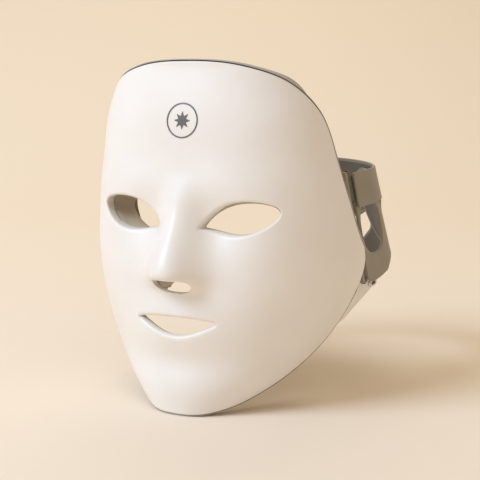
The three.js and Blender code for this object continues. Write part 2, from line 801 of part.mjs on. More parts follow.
function buildElectronics() {
  const socket = portSlot(9, 3.2, 77.8, 84).subtract(portSlot(8.2, 2.4, 79, 90));
  const tongue = solid(box(78.4, 83, PORT.y - 3.3, PORT.y + 3.3, PORT.z - 0.35, PORT.z + 0.35));
  place("usb_c_socket", socket.add(tongue), "metal");
  place("charge_board", solid(box(76.3, 77.5, 100, 129, 68.2, 72.2)), "board");
  place("battery", solid(box(77, 82.2, 99.5, 130, 73.4, 85)), "battery");
  place("control_board", solid(box(-77.5, -76.3, 98, 124, 68, 85)), "board");
  const { y, z } = BUTTON;
  place("power_switch", solid(box(-80.6, -77.8, y - 3, y + 3, z - 1.7, z + 3)), "black");
  const cap = sideways(cylinder(BUTTON.radius, 82.2, 84.9, 24), -1, y, z);
  const flange = sideways(cylinder(BUTTON.radius + 0.9, 81.6, 82.4, 24), -1, y, z);
  place("power_button", cap.add(flange), "white");
  place("status_light", sideways(cylinder(LIGHT.radius, 79, 84.3, 10), -1, LIGHT.y, LIGHT.z), "lens");
  const flap = portSlot(13.4, 5.6, 84.5, 85.7);
  const tether = solid(box(84.5, 85, PORT.y - 8.4, PORT.y - 6, PORT.z - 1.6, PORT.z + 1.6));
  place("usb_cover", flap.add(tether), "silicone");
}

// ---------------------------------------------------------------- headband
const PEG = { y: 95.2, z: 79.5 };
const hingeLength = (z) => (z - HINGE.z) / Math.cos(Math.atan(LEAN));

// The hinge line's frame: Z up along the line, Y back, X out.
function hingeFrame(side) {
  const matrix = new THREE.Matrix4().makeRotationX(Math.atan(LEAN));
  matrix.setPosition(side * HINGE.x, HINGE.y, HINGE.z);
  return matrix;
}

const hingeRod = (side, radius, low, high, segments = 16) =>
  moved(cylinder(radius, low, high, segments), hingeFrame(side));

function hingeBlock(side, x0, x1, y0, y1, low, high) {
  const [a, b] = side > 0 ? [x0, x1] : [-x1, -x0];
  return moved(box(a, b, y0, y1, low, high), hingeFrame(side));
}

// A point of the band: distance along it from the start of the bend, height and radius.
function bandPoint(along, z, radius, side) {
  let x = radius;
  let level = BEND_Y + along;
  if (along > 0) {
    const turn = along / INNER_BAND[1];
    const out = radius + FLARE * (FLARE_Z - z) * smoothStep(0, 25, THREE.MathUtils.radToDeg(turn));
    x = out * Math.cos(turn);
    level = BEND_Y + out * Math.sin(turn);
  }
  return [side * x, level + (HINGE.z - z) * bandLean(along), z];
}

// The lean fades from the sides to the back of the head.
function bandLean(along) {
  const turn = THREE.MathUtils.radToDeg(along / INNER_BAND[1]);
  return LEAN - LEAN_FADE * smoothStep(30, 88, Math.min(turn, 180 - turn));
}

const arc = (degrees) => radians(degrees) * INNER_BAND[1];
const straight = (level) => level - BEND_Y;

// A strip of the band over a list of stations, between two height tables and two radii.
function strip(side, stations, low, high, [inner, outer]) {
  return loft(
    stations.map((along) => {
      const z0 = lineTable(low, along);
      const z1 = lineTable(high, along);
      const level = (share) => z0 + share * (z1 - z0);
      const shares = [0, 1 / 3, 2 / 3, 1];
      const up = shares.map((share) => bandPoint(along, level(share), outer, side));
      const down = shares.map((share) => bandPoint(along, level(share), inner, side));
      return [...up, ...down.reverse()];
    }),
  );
}

function stationsBetween(from, to, step) {
  const count = Math.max(Math.round((to - from) / step), 1);
  return Array.from({ length: count + 1 }, (_, i) => from + ((to - from) * i) / count);
}

// A superellipse hole through the band.
function earTool(side) {
  const from = straight(EAR.front);
  const to = straight(EAR.back);
  const middle = (from + to) / 2;
  const half = (to - from) / 2;
  const centre = (EAR.top + EAR.bottom) / 2;
  const height = (EAR.top - EAR.bottom) / 2;
  const stations = [-0.998, -0.95, -0.85, -0.65, -0.35, 0, 0.35, 0.65, 0.85, 0.95, 0.998];
  const places = stations.map((u) => middle + u * half);
  const spread = (u) => height * (1 - Math.abs(u) ** 2.6) ** (1 / 2.6);
  const low = stations.map((u, i) => [places[i], centre - spread(u)]);
  const high = stations.map((u, i) => [places[i], centre + spread(u)]);
  return strip(side, places, low, high, [80, 96]);
}

const degreeTable = (rows) => rows.map(([degrees, z]) => [arc(degrees), z]);

function buildEarBand(side, low, high, name) {
  const start = straight(65.4);
  const end = low[low.length - 1][0];
  const stations = [start, straight(80), ...stationsBetween(0, end, 8)];
  let body = strip(side, stations, low, high, INNER_BAND);
  body = body.subtract(earTool(side));
  for (const [bottom, top] of [UPPER_KNUCKLES.band, LOWER_KNUCKLES.band]) {
    body = body.add(hingeRod(side, KNUCKLE, bottom, top));
    body = body.add(hingeBlock(side, 0.35, 2.35, 0, 4.6, bottom, top));
    body = body.subtract(hingeRod(side, PIN_HOLE, bottom - 1, top + 1));
  }
  return body;
}

const upperEnds = [hingeLength(131.4), hingeLength(156.6)];
const lowerEnds = [hingeLength(76), hingeLength(92)];
const knucklesOf = ([low, high], end) => ({
  anchor: [
    [low, low + end],
    [high - end, high],
  ],
  band: [low + end + 0.4, high - end - 0.4],
});
const UPPER_KNUCKLES = knucklesOf(upperEnds, 5);
const LOWER_KNUCKLES = knucklesOf(lowerEnds, 3.6);

const rectangle = (x0, x1, y0, y1) => [
  [x0, y0],
  [x1, y0],
  [x1, y1],
  [x0, y1],
];

// A prism leaning with the hinge line, over an outline of x and level.
function leanPrism(side, outline, low, high) {
  const ring = (z) => outline.map(([x, level]) => [side * x, level + (HINGE.z - z) * LEAN, z]);
  return loft([ring(low), ring(high)]);
}

function anchorScrewTool(side, radius) {
  return sideways(cylinder(radius, 74, 84.5, 10), side, 48.5 + (HINGE.z - 140) * LEAN, 140);
}

function addKnuckles(body, side, knuckles) {
  let made = body;
  for (const [bottom, top] of knuckles.anchor) {
    made = made.add(hingeRod(side, KNUCKLE, bottom, top));
    made = made.add(hingeBlock(side, -1.2, 2.3, -3.6, 0, bottom, top));
    made = made.subtract(hingeRod(side, PIN_HOLE, bottom - 1, top + 1));
  }
  return made;
}

function buildAnchors(side) {
  const name = sideName(side);
  let upper = union(
    leanPrism(side, rectangle(86, 90, 54.8, 59), 131, 157),
    leanPrism(side, rectangle(75.6, 78.1, 44.5, 57.2), 133, 148),
    leanPrism(side, rectangle(75.6, 89, 54.8, 57.2), 133, 148),
  );
  upper = addKnuckles(upper, side, UPPER_KNUCKLES).subtract(anchorScrewTool(side, SCREW.hole));
  place(name + "_upper_anchor", upper, "silicone");

  const rings = [
    [76, 54],
    [82, 54],
    [88, 56.4],
    [92, 57.4],
  ].map(([z, front]) => {
    const shift = (HINGE.z - z) * LEAN;
    const [x0, x1] = [side * 84.6, side * 90];
    const [y0, y1] = [front + shift, 58.6 + shift];
    return [
      [x0, y0, z],
      [x1, y0, z],
      [x1, y1, z],
      [x0, y1, z],
    ];
  });
  let lower = addKnuckles(loft(rings), side, LOWER_KNUCKLES);
  lower = lower.add(sideways(cylinder(1.5, 81, 85, 12), side, PEG.y, PEG.z));
  place(name + "_lower_anchor", lower, "silicone");

  place(name + "_upper_pin", hingeRod(side, PIN, upperEnds[0] + 0.5, upperEnds[1] - 0.5, 12), "metal");
  place(name + "_lower_pin", hingeRod(side, PIN, lowerEnds[0] + 0.5, lowerEnds[1] - 0.5, 12), "metal");

  const y = 48.5 + (HINGE.z - 140) * LEAN;
  const shank = sideways(cylinder(SCREW.shank, 74.6, 83.6, 10), side, y, 140);
  const head = sideways(cylinder(SCREW.head, 73.9, 75.2, 12), side, y, 140);
  place(name + "_anchor_screw", shank.add(head), "metal");
}

// A rod square to the band's skin, its ends measured from the gap between the two layers.
function rivetTool(side, degrees, z, radius, from, to) {
  const turn = radians(degrees);
  const lean = bandLean(arc(degrees));
  const outward = new THREE.Vector3(side * Math.cos(turn), Math.sin(turn), lean * Math.sin(turn));
  const rotation = new THREE.Quaternion();
  rotation.setFromUnitVectors(new THREE.Vector3(0, 0, 1), outward.normalize());
  const at = new THREE.Vector3().fromArray(bandPoint(arc(degrees), z, SKIN_GAP, side));
  const matrix = new THREE.Matrix4().compose(at, rotation, new THREE.Vector3(1, 1, 1));
  return moved(cylinder(radius, from, to, 12), matrix);
}

const SKIN_GAP = 90.15; // radius between the two layers of the band

const RIVET = { shank: 1.5, hole: 1.8, head: 3 };
const LEFT_RIVET = [40, 143.5];
const RIGHT_RIVET = [22, 143.5];
const CLASP_BAND = [92.7, 94.3];
const CLASPS = [
  ["upper", 126, 148],
  ["lower", 72, 82],
];

function rivetPair(side, [degrees, z]) {
  return union(
    rivetTool(side, degrees, z, RIVET.shank, -2.9, 2.8),
    rivetTool(side, degrees, z, RIVET.head, -3.4, -2.5),
    rivetTool(side, degrees, z, RIVET.head, 2.5, 3.3),
  );
}

const flatTable = (z) => [
  [-100, z],
  [400, z],
];
const STRAP_START = straight(64.6);
const BACK_SEAM = arc(90) - CLEAR / 2;

// Ear band outlines: rows of height against plan degrees, and the same for the back band and its slot.
const EAR_FRONT = [
  [straight(65.4), 76.5],
  [straight(74), 73.5],
  [straight(84), 73.4],
];
const BANDS = [
  {
    side: 1,
    rivet: LEFT_RIVET,
    earLow: [[0, 74.2], [9, 76.4], [13.5, 81], [18, 84.5], [27, 88], [36, 91], [41, 95], [45, 104], [52, 130]],
    earHigh: [[0, 151], [43, 151], [48, 148], [52, 134]],
    backLow: [[0, 131], [26, 131], [32, 122], [38, 95], [42, 76], [46, 70], [90, 70]],
    slotLow: [[47.6, 107], [49, 101], [53, 96], [57, 90.5], [61, 87], [68, 84.5], [78, 84], [92, 84]],
    slotHigh: [[47.6, 111], [49, 116], [53, 112.5], [57, 109.5], [61, 108.5], [68, 110], [78, 114], [92, 115]],
  },
  {
    side: -1,
    rivet: RIGHT_RIVET,
    earLow: [[0, 74.2], [9, 76.4], [13.5, 81], [18, 84.5], [24, 87], [29, 93]],
    earHigh: [[0, 151], [24, 151], [29, 142]],
    backLow: [[0, 131], [20, 131], [22, 122], [24, 100], [27, 76], [30, 70], [90, 70]],
    slotLow: [[30, 94], [33, 88], [38, 85], [50, 84], [70, 84], [92, 84]],
    slotHigh: [[30, 105], [33, 111], [38, 114], [50, 115], [70, 115], [92, 115]],
  },
];

// Stations through every row of an outline, with more between rows that lie far apart.
function stationsOf(marks, step) {
  const all = [marks[0]];
  marks.slice(1).forEach((mark, i) => all.push(...stationsBetween(marks[i], mark, step).slice(1)));
  return all;
}

function buildBand({ side, rivet, earLow, earHigh, backLow, slotLow, slotHigh }) {
  const name = sideName(side);
  const rivetHole = rivetTool(side, ...rivet, RIVET.hole, -6, 6);
  const low = [...EAR_FRONT, ...degreeTable(earLow)];
  const high = [[straight(65.4), 150], ...degreeTable(earHigh)];
  const earBand = buildEarBand(side, low, high).subtract(rivetHole);
  place(name + "_ear_band", earBand, "silicone");

  const marks = backLow.slice(0, -1).map(([degrees]) => arc(degrees));
  const stations = stationsOf([STRAP_START, ...marks, BACK_SEAM], 9);
  let panel = strip(side, stations, degreeTable(backLow), flatTable(TOP_STRAP[1]), OUTER_BAND);
  const slotStations = slotLow.map(([degrees]) => arc(degrees));
  panel = panel.subtract(strip(side, slotStations, degreeTable(slotLow), degreeTable(slotHigh), [82, 98]));
  place(name + "_back_band", panel.subtract(rivetHole), "silicone");
  place(name + "_rivet", rivetPair(side, rivet), "metal");

  // Magnetic clasp plates: the two halves meet face to face at the back of the head.
  for (const [level, bottom, top] of CLASPS) {
    const plate = strip(side, [arc(84.6), arc(87.2), BACK_SEAM], flatTable(bottom), flatTable(top), CLASP_BAND);
    place(name + "_" + level + "_clasp", plate, "metal");
  }
}

// ---------------------------------------------------------------- assembly
buildFrontShell();
buildGasket();
buildRearShell();
buildWindows();
buildFlexCables();
buildSoftPieces();
buildRearScrews();
buildEmblem();
for (const side of [1, -1]) {
  buildHousing(side);
  buildAnchors(side);
}
buildElectronics();
BANDS.forEach(buildBand);

const whole = new THREE.Box3().setFromObject(group);
const middle = whole.getCenter(new THREE.Vector3());
group.position.set(-middle.x, -middle.y, -whole.min.z);

export default group;
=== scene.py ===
"""LED face mask: smooth shells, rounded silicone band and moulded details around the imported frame.

The shapes follow the same driving dimensions as the CAD, in design millimetres, and make_piece()
moves them into the row frame in metres.
"""

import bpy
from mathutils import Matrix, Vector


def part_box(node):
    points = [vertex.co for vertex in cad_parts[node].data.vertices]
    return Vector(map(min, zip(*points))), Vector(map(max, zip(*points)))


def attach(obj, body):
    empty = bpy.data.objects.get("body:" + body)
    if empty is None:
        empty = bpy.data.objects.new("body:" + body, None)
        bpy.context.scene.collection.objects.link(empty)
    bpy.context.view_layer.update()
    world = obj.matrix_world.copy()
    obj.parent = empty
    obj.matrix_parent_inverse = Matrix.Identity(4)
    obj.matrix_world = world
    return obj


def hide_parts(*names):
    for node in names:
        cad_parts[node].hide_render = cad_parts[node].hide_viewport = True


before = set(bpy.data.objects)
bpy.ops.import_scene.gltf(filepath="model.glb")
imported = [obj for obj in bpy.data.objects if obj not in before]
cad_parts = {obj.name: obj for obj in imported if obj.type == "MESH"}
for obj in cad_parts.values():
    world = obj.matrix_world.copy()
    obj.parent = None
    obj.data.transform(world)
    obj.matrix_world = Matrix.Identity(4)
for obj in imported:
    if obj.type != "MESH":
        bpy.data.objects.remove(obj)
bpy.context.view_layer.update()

import math

import bmesh
import bpy
import numpy as np
from mathutils import Matrix, Vector
from mathutils.geometry import delaunay_2d_cdt

MM = 0.001
# The charge board's low corner is known in design millimetres, which gives the shift to the row frame.
BOARD_CORNER = (76.3, 100.0, 68.2)
SHIFT = np.array(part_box("charge_board")[0]) / MM - np.array(BOARD_CORNER)
MASK, LEFT, RIGHT = "mask", "left_band", "right_band"
SIDES = [(1, "left"), (-1, "right")]

# ---- driving dimensions, as in the CAD
STATION_Z = [0, 20, 45, 75, 105, 135, 165, 195, 226]
HALF_WIDTH = [44, 64, 79.5, 90, 94.5, 93.5, 89, 81.5, 66.5]
FRONT = [-12, -11, -9.5, -10, -10, -8.5, -5, -2, 4.5]
SIDE = [82, 81.5, 83.5, 84, 83, 80, 73, 61, 49]
PLAN_POWER = 2.5
WALL_PER_DEGREE = 1.3
RIM = [
    (0, 229), (30, 225.5), (59, 215), (74.5, 196.5), (76.7, 165), (79.6, 143), (84.5, 120.5), (90.5, 103),
    (93.5, 91), (90.5, 77), (84, 56), (70, 31), (47, 8.5), (24, 1.5), (0, 0),
]
HUB_Z = 95.0
LIP = 1.011
SKIN = 2.0
GASKET = (2.4, 3.0)
REAR_WALL, REAR_FRONT, REAR_BACK = 3.4, 6.2, 8.2
ANCHOR_NOTCHES = [((82, 54.4, 130.6), (92, 64, 157.4)), ((84.2, 55.6, 85), (92, 64, 92.5))]
REAR_NOSE = 0.55
CUP_SHIFT, CUP_SCALE = np.array([-7.25, -3.4]), np.array([0.91, 0.95])
CUP_BACK, CUP_SLOPE = 5.2, 0.43
CUP_DEPTH = 9.0

EYE_INNER, EYE_OUTER, EYE_UPPER, EYE_LOWER = (14.4, 122.7), (64.4, 134.5), 12.1, 9.9
MOUTH_HALF, MOUTH_Z, MOUTH_UPPER, MOUTH_LOWER = 28.8, 62.4, 2.8, 9.5
NOSE_HALF, NOSE_TOP, NOSE_MIDDLE, NOSE_BOTTOM = 13.5, 91.5, 87.5, 81.0
EMBLEM_Z, EMBLEM_RADIUS, EMBLEM_LINE = 191.5, 11.3, 0.9

HINGE = (87.5, 62.0, 156.0)
LEAN = 0.5
LEAN_FADE = 0.28
FLARE, FLARE_Z = 0.07, 140.0
BEND_Y = 94.5
ARC_RADIUS = 90.0
INNER_BAND, OUTER_BAND, CLASP_FACE = (88.0, 90.0), (90.4, 92.4), 94.3
EAR_LEVEL, EAR_Z, EAR_HALF_WIDE, EAR_HALF_TALL, EAR_SQUARE = 90.0, 113.75, 21.0, 19.25, 2 / 2.6

# ---- numeric helpers
SLEEVE_SOFT = 0.35
SCREW_HEAD = 2.25
SHARP_ANGLE, WING_SHARP_ANGLE = 40, 38


def circle(count):
    """Cosines and sines of evenly spaced turns."""
    turns = np.linspace(0, 2 * np.pi, count, endpoint=False)
    return np.cos(turns), np.sin(turns)


def signed_power(value, power):
    return np.sign(value) * np.abs(value) ** power


def placed(points, matrix):
    """Points moved by a 4 x 4 matrix."""
    m = np.array(matrix)
    return points @ m[:3, :3].T + m[:3, 3]


def smoothstep(low, high, value):
    t = np.clip((np.asarray(value, float) - low) / (high - low), 0, 1)
    return t * t * (3 - 2 * t)


def table(ys, z):
    """A smooth curve through the stations (cubic Hermite, central slopes)."""
    x = np.array(STATION_Z, float)
    y = np.array(ys, float)
    z = np.clip(np.asarray(z, float), x[0], x[-1])
    i = np.clip(np.searchsorted(x, z, side="left") - 1, 0, len(x) - 2)
    before = np.maximum(np.arange(len(x)) - 1, 0)
    after = np.minimum(np.arange(len(x)) + 1, len(x) - 1)
    slope = (y[after] - y[before]) / (x[after] - x[before])
    width = x[i + 1] - x[i]
    t = (z - x[i]) / width
    return (
        (2 * t**3 - 3 * t**2 + 1) * y[i]
        + (t**3 - 2 * t**2 + t) * width * slope[i]
        + (3 * t**2 - 2 * t**3) * y[i + 1]
        + (t**3 - t**2) * width * slope[i + 1]
    )


def bump(x, z, cx, cz, sx, sz):
    return np.exp(-0.5 * (((x - cx) / sx) ** 2 + ((z - cz) / sz) ** 2))


def relief(x, z, nose_scale):
    """How far the face stands forward of the plain superellipse form."""
    ax = np.abs(x)
    grown = smoothstep(150, 90, z)
    ridge = np.exp(-0.5 * (np.abs(x) / (9 + 5 * grown)) ** 2.4)
    nose = (3 + 20 * grown) * ridge * smoothstep(79, 96, z) * smoothstep(160, 140, z)
    return (
        nose_scale * nose
        - 6 * bump(ax, z, 22, 126, 15, 13)
        + 2 * bump(ax, z, 38, 150, 26, 9)
        + 3 * bump(ax, z, 44, 92, 22, 22)
        + 7 * bump(x, z, 0, 58, 26, 16)
        - 3.5 * bump(x, z, 0, 33, 22, 8)
        + 4 * bump(x, z, 0, 16, 22, 14)
    )


def nose_share(depth):
    """The inner skin follows the nose at just over half its height."""
    return 1 + (REAR_NOSE - 1) * np.clip((np.asarray(depth, float) - 3) / 3, 0, 1)


SPREAD = 150.0  # width of the flattened face sheet, mm from the centre line to the side
SPREAD_POWER = 2 / PLAN_POWER  # so that near the centre line the sheet's width grows in step with x


def on_sheet(x, z):
    """Flat sheet coordinate of a front-view point of the outer surface."""
    share = np.clip(np.abs(x) / table(HALF_WIDTH, z), 0, 1)
    turn = np.degrees(np.arcsin(share ** (PLAN_POWER / 2)))
    return np.sign(x) * SPREAD * (turn / 90) ** SPREAD_POWER


def face(u, z, depth):
    """The point of a layer over a point of the flattened sheet. Near the middle a layer's points keep
    their x, so the holes' walls run straight back; at the sides the layer moves in with its depth."""
    u, z, depth = np.broadcast_arrays(np.asarray(u, float), np.asarray(z, float), np.asarray(depth, float))
    turn = 90 * (np.abs(u) / SPREAD) ** (1 / SPREAD_POWER)
    full = table(HALF_WIDTH, z)
    inside = full - depth
    front = table(FRONT, z) + depth
    side = table(SIDE, z)
    sine = np.sin(np.radians(np.minimum(turn, 90))) ** (2 / PLAN_POWER)
    cosine = np.maximum(np.cos(np.radians(np.minimum(turn, 90))), 0) ** (2 / PLAN_POWER)
    follow = smoothstep(0.6, 0.95, np.abs(u) / SPREAD)
    x = sine * (full - follow * depth)
    share = np.clip(x / inside, 0, 1)
    straight = (1 - share**PLAN_POWER) ** (1 / PLAN_POWER)
    across = np.where(follow > 0.98, cosine, straight)
    x = np.sign(u) * x
    y = side - (side - front) * across + np.maximum(turn - 90, 0) * WALL_PER_DEGREE
    return np.stack([x, y - relief(x, z, nose_share(depth)), z], -1)


def over_view(points, depth):
    """Layer points over front-view points (x, z)."""
    x, z = points[:, 0], points[:, 1]
    return face(on_sheet(x, z), z, depth)


def catmull(points, samples, closed=True):
    """Uniform Catmull-Rom curve through points."""
    p = np.array(points, float)
    n = len(p)
    spans = n if closed else n - 1
    t = np.linspace(0, spans, samples, endpoint=not closed)
    i = np.minimum(t.astype(int), spans - 1)
    f = (t - i)[:, None]
    at = (lambda k: p[k % n]) if closed else (lambda k: p[np.clip(k, 0, n - 1)])
    a, b, c, d = at(i - 1), at(i), at(i + 1), at(i + 2)
    return 0.5 * (2 * b + (c - a) * f + (2 * a - 5 * b + 4 * c - d) * f**2 + (3 * b - a - 3 * c + d) * f**3)


def even(loop, count):
    """The same closed loop with evenly spaced points."""
    ring = np.vstack([loop, loop[:1]])
    run = np.concatenate([[0], np.cumsum(np.linalg.norm(np.diff(ring, axis=0), axis=1))])
    want = np.linspace(0, run[-1], count, endpoint=False)
    return np.stack([np.interp(want, run, ring[:, k]) for k in range(ring.shape[1])], -1)


def area(loop):
    x, y = loop[:, 0], loop[:, 1]
    return 0.5 * np.sum(x * np.roll(y, -1) - np.roll(x, -1) * y)


def grow(loop, distance):
    """A closed 2-D loop moved outwards along its normals."""
    along = np.roll(loop, -1, 0) - np.roll(loop, 1, 0)
    along /= np.linalg.norm(along, axis=1)[:, None] + 1e-9
    turned = 1 if area(loop) > 0 else -1
    return loop + turned * distance * np.stack([along[:, 1], -along[:, 0]], -1)


def rounded(points, radius, steps):
    """A closed polygon with its corners rounded."""
    p = np.array(points, float)
    out = []
    for i in range(len(p)):
        a, b, c = p[i - 1], p[i], p[(i + 1) % len(p)]
        to_a, to_c = a - b, c - b
        la, lc = np.linalg.norm(to_a), np.linalg.norm(to_c)
        cut = min(radius, 0.48 * la, 0.48 * lc)
        start, end = b + to_a / la * cut, b + to_c / lc * cut
        for t in np.linspace(0, 1, steps):
            out.append((1 - t) ** 2 * start + 2 * t * (1 - t) * b + t * t * end)
    return np.array(out)


def quarter(radius, steps):
    """A quarter round as (distance into the material, depth), from the sheet to the wall."""
    turns = np.radians(np.linspace(0, 90, steps))
    return [(radius * (1 - math.sin(a)), radius * (1 - math.cos(a))) for a in turns]


def edge_profile(thickness, front_radius, back_radius, wide=1.6, steps=5):
    """Loops across an edge as (distance into the material, depth), from the front sheet to the back."""
    front = quarter(front_radius, steps)
    back = [(into, thickness - depth) for into, depth in quarter(back_radius, steps)]
    reach = max(front_radius, back_radius) + wide
    near = max(front_radius, back_radius) + 0.35 * wide
    return [(reach, 0), (near, 0), *front, *back[::-1], (near, thickness), (reach, thickness)]


def inside(points, loop):
    """Which 2-D points lie inside a closed loop."""
    x, y = points[:, 0], points[:, 1]
    result = np.zeros(len(points), bool)
    for (x0, y0), (x1, y1) in zip(loop, np.roll(loop, -1, 0)):
        crosses = (y0 > y) != (y1 > y)
        at = x0 + (y - y0) / (y1 - y0 if y1 != y0 else 1e-12) * (x1 - x0)
        result ^= crosses & (x < at)
    return result


def in_region(points, rims):
    """Which 2-D points lie inside the first loop and in none of the others."""
    keep = inside(points, rims[0])
    for rim in rims[1:]:
        keep &= ~inside(points, rim)
    return keep


def clearance(points, loop):
    """Distance of each 2-D point from the nearest loop point."""
    best = np.full(len(points), 1e9)
    for start in range(0, len(points), 4000):
        part = points[start : start + 4000]
        gap = np.linalg.norm(part[:, None, :] - loop[None, :, :], axis=2)
        best[start : start + 4000] = gap.min(1)
    return best


def sheet_solid(place, outer, holes, spacing):
    """A closed solid over a flat region. place(u, v, depth) gives its points; outer and each hole are
    (loop, profile), where the profile runs across the edge from the front sheet to the back. The faces
    are numbered 0 in front and in the holes, 1 along the outer edge and 2 at the back."""
    edges = [(outer[0], outer[1], -1)] + [(loop, profile, 1) for loop, profile in holes]
    rims = [grow(loop, sign * profile[0][0]) for loop, profile, sign in edges]
    low, high = rims[0].min(0), rims[0].max(0)
    rows = np.arange(low[1], high[1], spacing * 0.866)
    lattice = []
    for k, v in enumerate(rows):
        half = np.arange(spacing * (0.5 if k % 2 else 0), max(-low[0], high[0], high[0] - low[0]), spacing)
        middle = 0 if low[0] < 0 < high[0] else low[0]
        us = np.unique(np.concatenate([middle + half, middle - half]))
        lattice.append(np.stack([us, np.full(len(us), v)], -1))
    lattice = np.concatenate(lattice)
    lattice = lattice[in_region(lattice, rims)]
    for rim in rims:
        lattice = lattice[clearance(lattice, rim) > 0.55 * spacing]
    flat = np.concatenate([*rims, lattice])
    links = []
    start = 0
    for rim in rims:
        n = len(rim)
        links += [(start + k, start + (k + 1) % n) for k in range(n)]
        start += n
    found = delaunay_2d_cdt([Vector(p) for p in flat], links, [], 0, 1e-6)
    order = np.array([o[0] if o else -1 for o in found[3]])
    tris = np.array([[order[i] for i in f] for f in found[2]])
    tris = tris[(tris >= 0).all(1)]
    tris = tris[in_region(flat[tris].mean(1), rims)]
    winding = np.cross(flat[tris[:, 1]] - flat[tris[:, 0]], flat[tris[:, 2]] - flat[tris[:, 0]])
    tris = tris[np.abs(winding) > 1e-9]
    winding = winding[np.abs(winding) > 1e-9]
    tris[winding < 0] = tris[winding < 0][:, ::-1]
    count = len(flat)
    verts = [place(flat[:, 0], flat[:, 1], outer[1][0][1]), place(flat[:, 0], flat[:, 1], outer[1][-1][1])]
    faces = [*tris.tolist(), *(tris[:, ::-1] + count).tolist()]
    numbers = [0] * len(tris) + [2] * len(tris)
    base = 2 * count
    start = 0
    for (loop, profile, sign), rim in zip(edges, rims):
        n = len(rim)
        rows = [np.arange(start, start + n)]
        for into, depth in profile[1:-1]:
            ring = grow(loop, sign * into)
            verts.append(place(ring[:, 0], ring[:, 1], depth))
            rows.append(np.arange(base, base + n))
            base += n
        rows.append(np.arange(start + count, start + count + n))
        turned = (area(loop) > 0) == (sign < 0)
        for a, b in zip(rows, rows[1:]):
            for k in range(n):
                m = (k + 1) % n
                quad = [a[k], b[k], b[m], a[m]]
                faces.append(quad if turned else quad[::-1])
                numbers.append(1 if sign < 0 else 0)
        start += n
    return np.concatenate(verts), faces, numbers


def strips(rings, closed):
    """Quads that join each ring to the next, and where closed the last ring to the first."""
    count, size = len(rings), len(rings[0])
    quads = []
    for i in range(count if closed else count - 1):
        near, far = i * size, (i + 1) % count * size
        quads += [[near + k, near + (k + 1) % size, far + (k + 1) % size, far + k] for k in range(size)]
    return quads


def ring_solid(rings):
    """Closed loops joined one to the next and the last to the first."""
    return np.concatenate(rings), strips(rings, True)


def stack_solid(rings):
    """Closed loops joined one to the next, with a fan over each end."""
    size = len(rings[0])
    verts = [*rings, rings[0].mean(0)[None], rings[-1].mean(0)[None]]
    faces = strips(rings, False)
    low, high = len(rings) * size, len(rings) * size + 1
    last = (len(rings) - 1) * size
    for k in range(size):
        faces += [[(k + 1) % size, k, low], [last + k, last + (k + 1) % size, high]]
    return np.concatenate(verts), faces


def block(low, high, radius, move=lambda p: p, steps=3):
    """A box with rounded edges, its points then moved by a function."""
    bm = bmesh.new()
    bmesh.ops.create_cube(bm, size=1)
    for v in bm.verts:
        v.co = Vector([low[k] + (v.co[k] + 0.5) * (high[k] - low[k]) for k in range(3)])
    bmesh.ops.bevel(bm, geom=bm.edges[:], offset=radius, segments=steps, profile=0.5, affect="EDGES")
    verts = np.array([v.co for v in bm.verts])
    faces = [[v.index for v in f.verts] for f in bm.faces]
    bm.free()
    return move(verts), faces


def lifted(rows, matrix, solid=stack_solid):
    """Flat loops, each at its height along Z, joined into a solid and placed by a matrix."""
    rings = [np.column_stack([loop, np.full(len(loop), float(height))]) for loop, height in rows]
    verts, faces = solid(rings)
    return placed(verts, matrix), faces


def turned(profile, matrix, segments):
    """A profile of (radius, height) turned about Z, then placed by a matrix."""
    flat = np.stack(circle(segments), -1)
    return lifted([(radius * flat, height) for radius, height in profile], matrix)


def pipe(outer, hole, low, high, matrix, square=1.0):
    """A sleeve along Z with softened ends. A power under 1 squares its outside off."""
    plain = np.stack(circle(48), -1)
    wide = signed_power(plain, square)
    soft = SLEEVE_SOFT
    profile = [
        (hole, low + soft, plain), (hole + soft * 0.5, low, plain), (outer - soft, low, wide),
        (outer, low + soft, wide), (outer, high - soft, wide), (outer - soft, high, wide),
        (hole + soft * 0.5, high, plain), (hole, high - soft, plain),
    ]
    return lifted([(radius * shape, height) for radius, height, shape in profile], matrix, ring_solid)


def pointing(at, direction):
    """A frame at a point, with its Z along a direction."""
    rotation = Vector((0, 0, 1)).rotation_difference(direction).to_matrix().to_4x4()
    return Matrix.Translation(Vector(at)) @ rotation


def box_corners(x0, z0, x1, z1):
    return [(x0, z0), (x1, z0), (x1, z1), (x0, z1)]


# ---- materials


def fill(tree, node, values):
    """Links or sets a node's inputs, each from another node's output or from a value."""
    for name, value in values.items():
        if isinstance(value, bpy.types.NodeSocket):
            tree.links.new(value, node.inputs[name])
        else:
            node.inputs[name].default_value = value
    return node


def added(tree, kind, values):
    return fill(tree, tree.nodes.new("ShaderNode" + kind), values)


def node_material(name, build):
    """A material of one shader. build(tree) gives the shader's inputs, and the height, strength and
    distance in mm of its bump, or None."""
    material = bpy.data.materials.new(name)
    material.use_nodes = True
    tree = material.node_tree
    tree.nodes.clear()
    shader = tree.nodes.new("ShaderNodeBsdfPrincipled")
    added(tree, "OutputMaterial", {"Surface": shader.outputs["BSDF"]})
    inputs, relief_row = build(tree)
    fill(tree, shader, inputs)
    if relief_row:
        height, strength, distance = relief_row
        values = {"Strength": strength, "Distance": distance * MM, "Height": height}
        fill(tree, shader, {"Normal": added(tree, "Bump", values).outputs["Normal"]})
    return material


def noise(tree, scale, detail=4.0, rough=0.5, stretch=(1, 1, 1)):
    place = tree.nodes.new("ShaderNodeTexCoord").outputs["Object"]
    place = added(tree, "Mapping", {"Vector": place, "Scale": stretch}).outputs["Vector"]
    values = {"Vector": place, "Scale": scale, "Detail": detail, "Roughness": rough}
    return added(tree, "TexNoise", values).outputs["Fac"]


def spread(tree, value, low, high):
    """A 0 to 1 value, mapped from its middle range to low and high."""
    values = {"Value": value, "From Min": 0.3, "From Max": 0.7, "To Min": low, "To Max": high}
    return added(tree, "MapRange", values).outputs["Result"]


